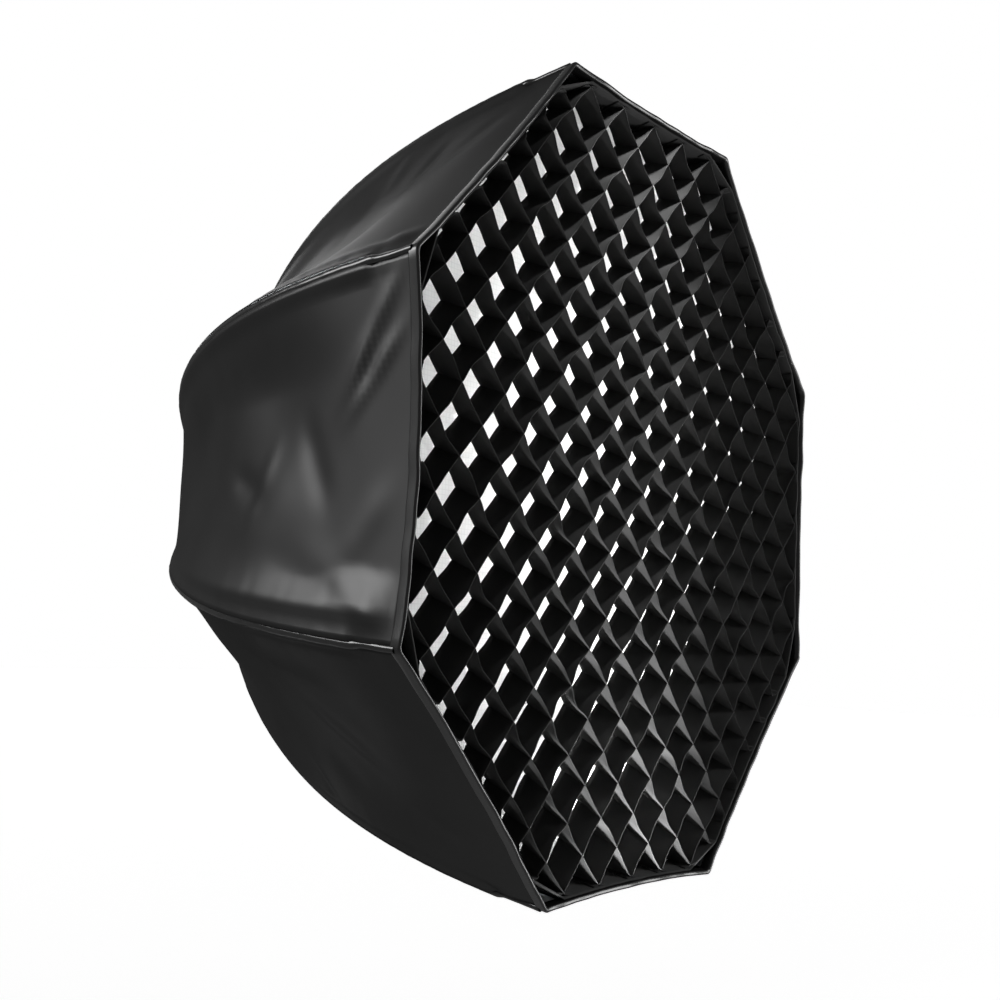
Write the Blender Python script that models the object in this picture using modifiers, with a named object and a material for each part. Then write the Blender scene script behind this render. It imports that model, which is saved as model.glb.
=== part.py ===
"""Octagonal studio softbox with a fabric honeycomb grid, modelled in metres.

Eight spring-steel rods are plugged into a speed ring and bowed out to the front corners.
Black fabric panels are stretched over them, and white diffusers and a grid close the front.
The softbox looks along -Y with +Z up, and the lamp is fastened behind it at +Y.
The origin is the centre of the seat where the mount ring meets the lamp.
Points of the bent rods are given as (radius, y) in the plane through the axis and the rod.
"""

import bisect
import math

import bmesh
import bpy
from mathutils import Matrix, Vector

# Overall form
SIDES = 8
CORNER_RADIUS = 0.475
LEAN_AT_SOCKET = math.radians(72)
LEAN_AT_FRONT = math.radians(10.5)
BEND_POWER = 1.75
CLEARANCE = 0.0003

# Cloth
FABRIC = 0.0012
PANEL_SAG = 0.012
PIPING_RADIUS = 0.004

# Steel rods and the tubes that hold them
ROD_RADIUS = 0.0025
ROD_ENGAGEMENT = 0.024
SOCKET_RADIUS = 0.0042
SOCKET_LENGTH = 0.028
SOCKET_FAIRING = 0.12

# Mount ring, which is fixed to the lamp
JOURNAL_RADIUS = 0.054
JOURNAL_WALL = 0.0055
FLANGE_WIDTH = 0.012
FLANGE_DEPTH = 0.005
NECK_WALL = 0.0035
NECK_LENGTH = 0.012
LUG_HEIGHT = 0.005
LUG_DEPTH = 0.0035
LUG_SETBACK = 0.0008
LUG_ANGLE = math.radians(40)
LUG_COUNT = 3

# Speed ring, which turns on the mount ring
RING_RADIUS = 0.074
RING_REAR_DEPTH = 0.0167
SOCKET_RING_RADIUS = 0.070
SOCKET_RING_DEPTH = 0.016
RETAINER_LIP = 0.010
RETAINER_DEPTH = 0.0034
SCREW_RADIUS = 0.0015
SCREW_HEAD_RADIUS = 0.0026
SCREW_HEAD_DEPTH = 0.002
SCREW_LENGTH = 0.010
LOCK_RADIUS = 0.0025
LOCK_STANDOFF = 0.0068
LOCK_SETBACK = 0.0060
KNOB_RADIUS = 0.0075
KNOB_LENGTH = 0.012
KNOB_FLUTES = 12
KNOB_FLUTE_DEPTH = 0.0008
CUFF_WIDTH = 0.0127
CUFF_DEPTH = 0.0025

# Front lip, from the hem inwards
HEM_WIDTH = 0.005
HEM_DEPTH = 0.012
HEM_ROUND = 0.0015
TAPE = 0.002
TAPE_DEPTH = 0.050
BORDER = 0.0025
GRID_RECESS = 0.004
GRID_DEPTH = 0.030
GRID_CELL = 0.050
GRID_STRIP = 0.0012
GRID_MARGIN = 0.001
DIFFUSER_BORDER_DEPTH = 0.018
POCKET_LENGTH = 0.040
POCKET_WIDTH = 0.022
POCKET_DEPTH = 0.009
POCKET_LIP = 0.0010
POCKET_STOP = 0.006

# Inner baffle
BAFFLE_RADIUS = 0.260
BAFFLE_SETBACK = 0.260
STRAP_WIDTH = 0.020
STRAP_DEPTH = 0.0016
STRAP_EVERY = 2

# Facets
RING_FACETS = 40
SMALL_FACETS = 12
PANEL_SECTIONS = 14
STEP_POWER = 1.4
PANEL_ACROSS = 4
LINE_STEPS = 600

# Derived places along the axis and around it
HALF_SIDE = math.pi / SIDES
SIDE_COSINE = math.cos(HALF_SIDE)
SIDE_SINE = math.sin(HALF_SIDE)
FACET_ALLOWANCE = 1 / math.cos(math.pi / SMALL_FACETS)
BORE_RADIUS = JOURNAL_RADIUS - JOURNAL_WALL
FLANGE_RADIUS = JOURNAL_RADIUS + FLANGE_WIDTH
NECK_RADIUS = BORE_RADIUS + NECK_WALL
LUG_RADIUS = NECK_RADIUS + LUG_HEIGHT
RETAINER_RADIUS = JOURNAL_RADIUS + RETAINER_LIP
RUNNING_BORE = JOURNAL_RADIUS + CLEARANCE
RING_REAR_Y = -FLANGE_DEPTH - CLEARANCE
LOCK_Y = RING_REAR_Y - LOCK_SETBACK
RING_STEP_Y = RING_REAR_Y - RING_REAR_DEPTH
RING_FRONT_Y = RING_STEP_Y - SOCKET_RING_DEPTH
JOURNAL_FRONT_Y = RING_FRONT_Y - CLEARANCE
RETAINER_REAR_Y = JOURNAL_FRONT_Y - CLEARANCE
RETAINER_FRONT_Y = RETAINER_REAR_Y - RETAINER_DEPTH
SOCKET_Y = (RING_STEP_Y + RING_FRONT_Y) / 2
ROD_TO_RIDGE = ROD_RADIUS + CLEARANCE + PIPING_RADIUS
SOCKET_TO_RIDGE = SOCKET_RADIUS + 2 * CLEARANCE + PIPING_RADIUS

BLACK_NYLON = ("black_nylon", (0.020, 0.020, 0.021), 0.55, 0.0)
BLACK_WEBBING = ("black_webbing", (0.012, 0.012, 0.013), 0.7, 0.0)
WHITE_NYLON = ("white_nylon", (0.86, 0.86, 0.85), 0.8, 0.0)
SPRING_STEEL = ("spring_steel", (0.42, 0.43, 0.45), 0.35, 1.0)
CAST_ALUMINIUM = ("cast_aluminium", (0.60, 0.61, 0.62), 0.4, 1.0)
BLACK_PLASTIC = ("black_plastic", (0.02, 0.02, 0.02), 0.45, 0.0)


def clear_scene():
    for obj in list(bpy.data.objects):
        bpy.data.objects.remove(obj, do_unlink=True)


def new_collection(name):
    collection = bpy.data.collections.new(name)
    bpy.context.scene.collection.children.link(collection)
    return collection


def material(name, colour, roughness, metallic):
    made = bpy.data.materials.get(name)
    if made is None:
        made = bpy.data.materials.new(name)
        made.use_nodes = True
        shader = made.node_tree.nodes["Principled BSDF"]
        shader.inputs["Base Color"].default_value = (*colour, 1.0)
        shader.inputs["Roughness"].default_value = roughness
        shader.inputs["Metallic"].default_value = metallic
    return made


# Lines of the bent rods and of the seam ridges outside them


def along(lean):
    """Unit step towards the front, in (radius, y), of a rod that leans this far from the axis."""
    return Vector((math.sin(lean), -math.cos(lean)))


def outward(lean):
    """Unit step square to such a rod, away from the softbox's inside."""
    return Vector((math.cos(lean), math.sin(lean)))


def lean_at(share):
    """A rod's lean, which falls fastest near its socket. share runs from 0 at the mouth to 1 at the hem."""
    return LEAN_AT_FRONT + (LEAN_AT_SOCKET - LEAN_AT_FRONT) * (1 - share) ** BEND_POWER


SOCKET_MOUTH = Vector((SOCKET_RING_RADIUS, SOCKET_Y)) + SOCKET_LENGTH * along(LEAN_AT_SOCKET)
ROD_END_RADIUS = CORNER_RADIUS - PIPING_RADIUS - ROD_TO_RIDGE * math.cos(LEAN_AT_FRONT)
MID_LEANS = [lean_at((i + 0.5) / LINE_STEPS) for i in range(LINE_STEPS)]
LINE_LENGTH = (ROD_END_RADIUS - SOCKET_MOUTH.x) * LINE_STEPS / sum(math.sin(a) for a in MID_LEANS)


def trace_line():
    """Points of the rod's centre line at even steps from the socket's mouth to the hem."""
    points = [SOCKET_MOUTH.copy()]
    for lean in MID_LEANS:
        points.append(points[-1] + along(lean) * LINE_LENGTH / LINE_STEPS)
    return points


LINE = trace_line()


def rod_at(distance):
    """The rod's centre at a distance along it from the socket's mouth. Below 0 it lies in the socket."""
    if distance <= 0:
        return SOCKET_MOUTH + along(LEAN_AT_SOCKET) * distance
    step = min(distance / LINE_LENGTH * LINE_STEPS, LINE_STEPS - 1e-6)
    index = int(step)
    return LINE[index].lerp(LINE[index + 1], step - index)


def ridge_at(distance):
    """The seam's ridge beside that point: close over the rod, and lifted to clear the socket."""
    share = min(max(distance / LINE_LENGTH, 0), 1)
    lift = max(0, 1 - max(distance, 0) / SOCKET_FAIRING) ** 2
    gap = ROD_TO_RIDGE + (SOCKET_TO_RIDGE - ROD_TO_RIDGE) * lift
    return rod_at(distance) + outward(lean_at(share)) * gap


def distance_where(test):
    """The first distance along the line, from inside the socket to the hem, where test(distance) holds."""
    low = -SOCKET_LENGTH
    span = LINE_LENGTH - low
    steps = [low + span * i / LINE_STEPS for i in range(LINE_STEPS + 1)]
    return steps[min(bisect.bisect_left([test(d) for d in steps], True), LINE_STEPS)]


def sag_at(distance):
    """How far a panel's middle is drawn in towards the axis by its own tension."""
    share = min(max(distance / LINE_LENGTH, 0), 1)
    return PANEL_SAG * math.sin(math.pi * share) ** 2


PANEL_REAR_RADIUS = (RING_RADIUS + CLEARANCE + FABRIC) / SIDE_COSINE
CUFF_RADIUS = RING_RADIUS + CLEARANCE + CUFF_WIDTH
PIPING_REAR_RADIUS = CUFF_RADIUS + CLEARANCE + PIPING_RADIUS * math.cos(LEAN_AT_SOCKET)
PANEL_START = distance_where(lambda d: ridge_at(d).x >= PANEL_REAR_RADIUS)
PIPING_START = distance_where(lambda d: ridge_at(d).x >= PIPING_REAR_RADIUS)
PIPING_STEPS = [
    PIPING_START + (LINE_LENGTH - PIPING_START) * (i / (PANEL_SECTIONS - 1)) ** STEP_POWER
    for i in range(PANEL_SECTIONS)
]
HEM_REAR_Y = ridge_at(LINE_LENGTH).y - PIPING_RADIUS * math.sin(LEAN_AT_FRONT) - CLEARANCE
FRONT_Y = HEM_REAR_Y - HEM_DEPTH
POCKET_REACH = POCKET_DEPTH * math.sin(LEAN_AT_FRONT) + CLEARANCE
POCKET_END = LINE_LENGTH - (HEM_REAR_Y - rod_at(LINE_LENGTH).y + POCKET_REACH) / math.cos(LEAN_AT_FRONT)
ROD_END = POCKET_END - POCKET_STOP - CLEARANCE
GRID_FRONT_Y = FRONT_Y + GRID_RECESS
GRID_REAR_Y = GRID_FRONT_Y + GRID_DEPTH + 2 * GRID_MARGIN
DIFFUSER_FRONT_Y = GRID_REAR_Y + CLEARANCE
DIFFUSER_REAR_Y = DIFFUSER_FRONT_Y + FABRIC
BAFFLE_Y = FRONT_Y + BAFFLE_SETBACK


def lip_section(y):
    """Apothem of the panels' inner face, and radius of the pockets' inner face, at this y of the front lip."""
    edges = []
    for distance in PIPING_STEPS[-2:]:
        ridge = ridge_at(distance)
        edges.append(Vector((ridge.x * SIDE_COSINE - sag_at(distance) - FABRIC, ridge.y)))
    step = edges[1] - edges[0]
    wall = edges[0].x + step.x * (y - edges[0].y) / step.y
    foot = rod_at(POCKET_END) - outward(LEAN_AT_FRONT) * POCKET_DEPTH
    pocket = foot.x + (foot.y - y) * math.tan(LEAN_AT_FRONT)
    return wall, pocket


def lip_outline(y, inset):
    """Points (x, z) of an octagon with cut corners that fits inside the lip at y, this far in from it."""
    wall, pocket = lip_section(y)
    flat = wall - inset
    corner = pocket - inset
    half = (flat - corner * SIDE_COSINE) / SIDE_SINE
    points = []
    for index in range(SIDES):
        angle = rod_angle(index)
        radial = Vector((math.cos(angle), math.sin(angle)))
        across = Vector((-math.sin(angle), math.cos(angle)))
        points += [radial * corner - across * half, radial * corner + across * half]
    return points


def rod_angle(index):
    return HALF_SIDE + index * 2 * HALF_SIDE


# Making and placing meshes


def add_part(name, mesh, finish, parent, turn=0.0):
    """A named piece. turn swings it round the softbox's axis from the +X side towards +Z."""
    mesh.materials.clear()
    mesh.materials.append(material(*finish))
    obj = bpy.data.objects.new(name, mesh)
    obj.rotation_euler = (0, -turn, 0)
    obj.parent = parent
    PARTS.objects.link(obj)
    return obj


def helper(mesh, name="cutter"):
    obj = bpy.data.objects.new(name, mesh)
    obj.hide_render = True
    obj.display_type = "WIRE"
    CUTTERS.objects.link(obj)
    return obj


def mesh_of(obj):
    """The evaluated mesh of a helper object in world space, welded and facing out. The helper is removed."""
    bpy.context.view_layer.update()
    graph = bpy.context.evaluated_depsgraph_get()
    mesh = bpy.data.meshes.new_from_object(obj.evaluated_get(graph))
    mesh.transform(obj.matrix_world)
    bpy.data.objects.remove(obj, do_unlink=True)
    work = bmesh.new()
    work.from_mesh(mesh)
    bmesh.ops.remove_doubles(work, verts=work.verts, dist=1e-6)
    bmesh.ops.recalc_face_normals(work, faces=work.faces)
    work.to_mesh(mesh)
    work.free()
    mesh.shade_smooth()
    mesh.set_sharp_from_angle(angle=math.radians(35))
    return mesh


def combined(mesh, others, operation):
    """The mesh cut by, or joined with, other meshes."""
    obj = helper(mesh, "target")
    tools = [helper(other) for other in others]
    for tool in tools:
        modifier = obj.modifiers.new(operation.lower(), "BOOLEAN")
        modifier.operation = operation
        modifier.object = tool
    result = mesh_of(obj)
    for tool in tools:
        bpy.data.objects.remove(tool, do_unlink=True)
    return result


def turned(profile, facets, closed=True):
    """A shape turned about Y from points (radius, y). An open profile starts and ends on the axis."""
    mesh = bpy.data.meshes.new("turned")
    count = len(profile)
    edges = [(i, (i + 1) % count) for i in range(count if closed else count - 1)]
    mesh.from_pydata([(r, y, 0) for r, y in profile], edges, [])
    obj = helper(mesh, "turned")
    screw = obj.modifiers.new("turn", "SCREW")
    screw.axis = "Y"
    screw.steps = screw.render_steps = facets
    screw.use_merge_vertices = True
    screw.merge_threshold = 1e-6
    return mesh_of(obj)


def tube(points, radius, resolution=2):
    """A round bar along points (radius, y), lying in the XY plane."""
    curve = bpy.data.curves.new("tube", "CURVE")
    curve.dimensions = "3D"
    curve.bevel_depth = radius
    curve.bevel_resolution = resolution
    curve.use_fill_caps = True
    spline = curve.splines.new("POLY")
    spline.points.add(len(points) - 1)
    for point, place in zip(spline.points, points):
        point.co = (place.x, place.y, 0, 1)
    return mesh_of(helper(curve, "tube"))


def box(size, centre):
    work = bmesh.new()
    bmesh.ops.create_cube(work, size=1, matrix=Matrix.Translation(centre) @ Matrix.Diagonal((*size, 1)))
    mesh = bpy.data.meshes.new("box")
    work.to_mesh(mesh)
    work.free()
    return mesh


def bar_across(radius, length, centre, facets=SMALL_FACETS):
    """A round bar along X, centred there."""
    work = bmesh.new()
    turn = Matrix.Translation(centre) @ Matrix.Rotation(math.pi / 2, 4, "Y")
    bmesh.ops.create_cone(
        work, cap_ends=True, segments=facets, radius1=radius, radius2=radius, depth=length, matrix=turn
    )
    mesh = bpy.data.meshes.new("bar")
    work.to_mesh(mesh)
    work.free()
    return mesh


def ring_of_points(work, outline, y):
    verts = [work.verts.new((p.x, y, p.y)) for p in outline]
    return [work.edges.new((verts[i - 1], verts[i])) for i in range(len(verts))]


def lip_band(front_y, rear_y, inset, thickness):
    """A strip of tape that lines the lip all round, its outer face this far in from the panels and pockets."""
    work = bmesh.new()
    loops = []
    for y in (front_y, rear_y):
        loops += ring_of_points(work, lip_outline(y, inset + thickness / 2), y)
    bmesh.ops.bridge_loops(work, edges=loops)
    mesh = bpy.data.meshes.new("band")
    work.to_mesh(mesh)
    work.free()
    obj = helper(mesh, "band")
    solidify = obj.modifiers.new("thickness", "SOLIDIFY")
    solidify.thickness = thickness
    solidify.offset = 0
    return mesh_of(obj)


def lip_plate(front_y, rear_y, inset):
    """A flat sheet, or a block, that fills the lip's outline between two places along the axis."""
    work = bmesh.new()
    loops = [ring_of_points(work, lip_outline(y, inset), y) for y in (front_y, rear_y)]
    bmesh.ops.bridge_loops(work, edges=loops[0] + loops[1])
    for loop in loops:
        bmesh.ops.contextual_create(work, geom=loop)
    mesh = bpy.data.meshes.new("plate")
    work.to_mesh(mesh)
    work.free()
    return mesh_of(helper(mesh, "plate"))


# Mount and speed ring


def bayonet_lug():
    """One lug as a flat sector of a ring, standing proud of the mount ring's neck."""
    curve = bpy.data.curves.new("lug", "CURVE")
    curve.dimensions = "2D"
    curve.fill_mode = "BOTH"
    curve.extrude = LUG_DEPTH / 2
    steps = 6
    angles = [LUG_ANGLE * (i / steps - 0.5) for i in range(steps + 1)]
    root = (NECK_RADIUS + BORE_RADIUS) / 2
    outline = [(LUG_RADIUS, a) for a in angles] + [(root, a) for a in reversed(angles)]
    spline = curve.splines.new("POLY")
    spline.use_cyclic_u = True
    spline.points.add(len(outline) - 1)
    for point, (radius, angle) in zip(spline.points, outline):
        point.co = (radius * math.cos(angle), radius * math.sin(angle), 0, 1)
    obj = helper(curve, "lug")
    obj.rotation_euler = (math.pi / 2, 0, 0)
    obj.location = (0, NECK_LENGTH - LUG_SETBACK - LUG_DEPTH / 2, 0)
    return mesh_of(obj)


def turned_copy(mesh, angle):
    copy = mesh.copy()
    copy.transform(Matrix.Rotation(-angle, 4, "Y"))
    return copy


def screw_place(index):
    radius = (BORE_RADIUS + JOURNAL_RADIUS) / 2
    angle = math.pi / 2 + index * 2 * math.pi / LUG_COUNT
    return Vector((radius * math.cos(angle), 0, radius * math.sin(angle)))


def screw_hole(index, front_y, rear_y):
    hole = turned(
        [
            (0, rear_y),
            ((SCREW_RADIUS + CLEARANCE) * FACET_ALLOWANCE, rear_y),
            ((SCREW_RADIUS + CLEARANCE) * FACET_ALLOWANCE, front_y),
            (0, front_y),
        ],
        SMALL_FACETS,
        closed=False,
    )
    hole.transform(Matrix.Translation(screw_place(index)))
    return hole


def make_mount_ring(parent):
    body = turned(
        [
            (NECK_RADIUS, NECK_LENGTH),
            (NECK_RADIUS, 0),
            (FLANGE_RADIUS, 0),
            (FLANGE_RADIUS, -FLANGE_DEPTH),
            (JOURNAL_RADIUS, -FLANGE_DEPTH),
            (JOURNAL_RADIUS, JOURNAL_FRONT_Y),
            (BORE_RADIUS, JOURNAL_FRONT_Y),
            (BORE_RADIUS, NECK_LENGTH),
        ],
        RING_FACETS,
    )
    lug = bayonet_lug()
    lugs = [turned_copy(lug, math.pi / 2 + i * 2 * math.pi / LUG_COUNT) for i in range(LUG_COUNT)]
    body = combined(body, lugs, "UNION")
    depth = SCREW_LENGTH - RETAINER_DEPTH + CLEARANCE
    holes = [screw_hole(i, RETAINER_FRONT_Y, JOURNAL_FRONT_Y + depth) for i in range(LUG_COUNT)]
    add_part("mount_ring", combined(body, holes, "DIFFERENCE"), CAST_ALUMINIUM, parent)


def make_retainer(parent):
    ring = turned(
        [
            (RETAINER_RADIUS, RETAINER_REAR_Y),
            (RETAINER_RADIUS, RETAINER_FRONT_Y),
            (BORE_RADIUS, RETAINER_FRONT_Y),
            (BORE_RADIUS, RETAINER_REAR_Y),
        ],
        RING_FACETS,
    )
    past = 2 * RETAINER_DEPTH
    holes = [screw_hole(i, RETAINER_FRONT_Y - past, RETAINER_REAR_Y + past) for i in range(LUG_COUNT)]
    add_part("retaining_ring", combined(ring, holes, "DIFFERENCE"), CAST_ALUMINIUM, parent)
    seat = RETAINER_FRONT_Y - CLEARANCE
    screw = turned(
        [
            (0, seat + SCREW_LENGTH),
            (SCREW_RADIUS, seat + SCREW_LENGTH),
            (SCREW_RADIUS, seat),
            (SCREW_HEAD_RADIUS, seat),
            (SCREW_HEAD_RADIUS, seat - SCREW_HEAD_DEPTH),
            (0, seat - SCREW_HEAD_DEPTH),
        ],
        SMALL_FACETS,
        closed=False,
    )
    for index in range(LUG_COUNT):
        obj = add_part(f"retaining_screw_{index + 1}", screw, SPRING_STEEL, parent)
        obj.location = screw_place(index)


def make_speed_ring(parent):
    ring = turned(
        [
            (RING_RADIUS, RING_REAR_Y),
            (RING_RADIUS, RING_STEP_Y),
            (SOCKET_RING_RADIUS, RING_STEP_Y),
            (SOCKET_RING_RADIUS, RING_FRONT_Y),
            (RUNNING_BORE, RING_FRONT_Y),
            (RUNNING_BORE, RING_REAR_Y),
        ],
        RING_FACETS,
    )
    hole = bar_across(
        (LOCK_RADIUS + CLEARANCE) * FACET_ALLOWANCE, RING_RADIUS, Vector((RING_RADIUS, LOCK_Y, 0))
    )
    hole = turned_copy(hole, -math.pi / 2)
    add_part("speed_ring", combined(ring, [hole], "DIFFERENCE"), CAST_ALUMINIUM, parent)


def make_lock(parent):
    """The thumbscrew under the ring: a plain shank in the ring and a fluted knob on its end."""
    inner = JOURNAL_RADIUS + CLEARANCE
    outer = RING_RADIUS + LOCK_STANDOFF
    shank = bar_across(LOCK_RADIUS, outer - inner, Vector(((inner + outer) / 2, 0, 0)))
    add_part("lock_screw", turned_copy(shank, -math.pi / 2), SPRING_STEEL, parent)
    middle = outer + CLEARANCE + KNOB_LENGTH / 2
    knob = bar_across(KNOB_RADIUS, KNOB_LENGTH, Vector((middle, 0, 0)), 2 * KNOB_FLUTES)
    for vert in knob.vertices:
        spoke = Vector((0, vert.co.y, vert.co.z))
        flute = round(math.atan2(spoke.z, spoke.y) / (math.pi / KNOB_FLUTES)) % 2
        vert.co -= spoke.normalized() * KNOB_FLUTE_DEPTH * flute
    add_part("lock_knob", turned_copy(knob, -math.pi / 2), BLACK_PLASTIC, parent)


def make_cuff(parent):
    """Webbing cuff that closes the fabric round the speed ring, lying on the panels behind them."""
    inner = RING_RADIUS + CLEARANCE
    rest = outward(LEAN_AT_SOCKET) * (FABRIC / 2 + CLEARANCE)
    front = [ridge_at(PANEL_START) + rest]
    slope = -1 / math.tan(LEAN_AT_SOCKET)
    edge = [Vector((r, front[0].y + slope * (r - front[0].x))) for r in (inner, CUFF_RADIUS)]
    back = [point + Vector((0, CUFF_DEPTH)) for point in edge]
    add_part("rear_cuff", turned([*edge, *reversed(back)], RING_FACETS), BLACK_WEBBING, parent)


# Rods, seams and panels


def make_socket():
    """A steel tube screwed into the ring's edge, cut to lie against it."""
    bore = (ROD_RADIUS + CLEARANCE) * FACET_ALLOWANCE
    root = SOCKET_LENGTH
    mesh = turned(
        [(SOCKET_RADIUS, SOCKET_LENGTH), (SOCKET_RADIUS, -root), (bore, -root), (bore, SOCKET_LENGTH)],
        SMALL_FACETS,
    )
    place = Matrix.Translation((SOCKET_RING_RADIUS, SOCKET_Y, 0))
    mesh.transform(place @ Matrix.Rotation(LEAN_AT_SOCKET + math.pi, 4, "Z"))
    clear = SOCKET_RING_RADIUS + CLEARANCE
    cutter = turned(
        [(0, -RING_FRONT_Y), (clear, -RING_FRONT_Y), (clear, 3 * RING_FRONT_Y), (0, 3 * RING_FRONT_Y)],
        RING_FACETS,
        closed=False,
    )
    return combined(mesh, [cutter], "DIFFERENCE")


def make_rod():
    inside = [-ROD_ENGAGEMENT, 0]
    steps = [d for d in PIPING_STEPS if 0 < d < ROD_END]
    return tube([rod_at(d) for d in [*inside, *steps, ROD_END]], ROD_RADIUS)


def make_pocket():
    """Webbing pocket in a front corner: a block with a groove in which the rod's tip is caught."""
    foot = rod_at(POCKET_END)
    tilt = Matrix.Rotation(LEAN_AT_FRONT + math.pi, 4, "Z")
    place = Matrix.Translation((foot.x, foot.y, 0)) @ tilt
    height = POCKET_DEPTH + POCKET_LIP
    block = box(
        (height, POCKET_LENGTH, POCKET_WIDTH),
        Vector(((POCKET_DEPTH - POCKET_LIP) / 2, -POCKET_LENGTH / 2, 0)),
    )
    block.transform(place)
    groove_radius = (ROD_RADIUS + CLEARANCE) * FACET_ALLOWANCE
    behind = POCKET_END - 2 * POCKET_LENGTH
    steps = [d for d in PIPING_STEPS if behind < d < ROD_END]
    groove = [rod_at(d) for d in [behind, *steps, POCKET_END - POCKET_STOP]]
    return combined(block, [tube(groove, groove_radius, 4)], "DIFFERENCE")


def make_piping():
    return tube([ridge_at(d) for d in PIPING_STEPS], PIPING_RADIUS)


def make_panel():
    """One stretched gore between two seams, facing +X, with its middle drawn in a little."""
    steps = [PANEL_START, *PIPING_STEPS]
    edge_gap = (PIPING_RADIUS + CLEARANCE) / SIDE_COSINE
    work = bmesh.new()
    bmesh.ops.create_grid(work, x_segments=PANEL_ACROSS, y_segments=len(steps) - 1, size=1)
    for vert in work.verts:
        distance = steps[round((vert.co.y + 1) / 2 * (len(steps) - 1))]
        across = vert.co.x
        ridge = ridge_at(distance)
        middle = ridge.x * SIDE_COSINE - sag_at(distance) * (1 - across**2)
        vert.co = (middle, ridge.y, across * (ridge.x * SIDE_SINE - edge_gap))
    mesh = bpy.data.meshes.new("panel")
    work.to_mesh(mesh)
    work.free()
    obj = helper(mesh, "panel")
    solidify = obj.modifiers.new("cloth", "SOLIDIFY")
    solidify.thickness = FABRIC
    solidify.offset = 0
    return mesh_of(obj)


def make_shell(parent):
    """The eight-fold pieces, each copy swung round the axis."""
    at_rods = {
        "rod_socket": (make_socket(), SPRING_STEEL),
        "rod": (make_rod(), SPRING_STEEL),
        "corner_pocket": (make_pocket(), BLACK_WEBBING),
        "seam_piping": (make_piping(), BLACK_NYLON),
    }
    for name, (mesh, finish) in at_rods.items():
        for index in range(SIDES):
            add_part(f"{name}_{index + 1}", mesh, finish, parent, rod_angle(index))
    panel = make_panel()
    for index in range(SIDES):
        add_part(f"shell_panel_{index + 1}", panel, BLACK_NYLON, parent, index * 2 * HALF_SIDE)


# Front of the softbox


def octagon(spline, radius):
    spline.use_cyclic_u = True
    spline.points.add(SIDES - 1)
    for index, point in enumerate(spline.points):
        angle = rod_angle(index)
        point.co = (radius * math.cos(angle), radius * math.sin(angle), 0, 1)


def make_hem(parent):
    """The folded front edge of the shell, an octagonal frame with rounded edges."""
    curve = bpy.data.curves.new("hem", "CURVE")
    curve.dimensions = "2D"
    curve.fill_mode = "BOTH"
    curve.bevel_depth = HEM_ROUND
    curve.bevel_resolution = 1
    curve.offset = -HEM_ROUND
    curve.extrude = HEM_DEPTH / 2 - HEM_ROUND
    octagon(curve.splines.new("POLY"), CORNER_RADIUS)
    octagon(curve.splines.new("POLY"), CORNER_RADIUS - HEM_WIDTH / SIDE_COSINE)
    obj = helper(curve, "hem")
    obj.rotation_euler = (math.pi / 2, 0, 0)
    obj.location = (0, FRONT_Y + HEM_DEPTH / 2, 0)
    add_part("front_hem", mesh_of(obj), BLACK_NYLON, parent)


def make_loop_tape(parent):
    rear = HEM_REAR_Y + TAPE_DEPTH
    tape = lip_band(HEM_REAR_Y + CLEARANCE, rear, CLEARANCE, TAPE)
    add_part("loop_tape", tape, BLACK_WEBBING, parent)


def strips(turn):
    """Parallel grid strips, all running one way across the front at this angle."""
    reach = math.ceil(CORNER_RADIUS / GRID_CELL)
    work = bmesh.new()
    swing = Matrix.Rotation(turn, 4, "Y")
    middle = (GRID_FRONT_Y + GRID_REAR_Y) / 2
    for row in range(-reach, reach + 1):
        size = Matrix.Diagonal((GRID_STRIP, GRID_DEPTH, 3 * CORNER_RADIUS, 1))
        place = Matrix.Translation((row * GRID_CELL, middle, 0))
        bmesh.ops.create_cube(work, size=1, matrix=swing @ place @ size)
    mesh = bpy.data.meshes.new("strips")
    work.to_mesh(mesh)
    work.free()
    return mesh


def make_grid(parent):
    """The honeycomb grid: a hook-tape border and crossed fabric strips that stand edge-on inside it."""
    inset = 2 * CLEARANCE + TAPE
    border = lip_band(GRID_FRONT_Y, GRID_REAR_Y, inset, BORDER)
    add_part("grid_border", border, BLACK_WEBBING, parent)
    lattice = combined(strips(math.pi / 4), [strips(-math.pi / 4)], "UNION")
    room = lip_plate(GRID_FRONT_Y, GRID_REAR_Y, inset + BORDER + CLEARANCE)
    lattice = combined(lattice, [room], "INTERSECT")
    add_part("honeycomb_grid", lattice, BLACK_NYLON, parent)


def make_diffuser(parent):
    inset = 2 * CLEARANCE + TAPE
    sheet = lip_plate(DIFFUSER_FRONT_Y, DIFFUSER_REAR_Y, inset)
    add_part("front_diffuser", sheet, WHITE_NYLON, parent)
    front = DIFFUSER_REAR_Y + CLEARANCE
    border = lip_band(front, front + DIFFUSER_BORDER_DEPTH, inset, BORDER)
    add_part("diffuser_border", border, WHITE_NYLON, parent)


def rod_chord(y):
    """The centre and lean of the rod's straight section at this y."""
    points = [rod_at(d) for d in PIPING_STEPS]
    index = next(i for i, point in enumerate(points) if point.y <= y)
    start, end = points[index - 1], points[index]
    step = end - start
    return start + step * ((y - start.y) / step.y), math.atan2(step.x, -step.y)


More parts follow.
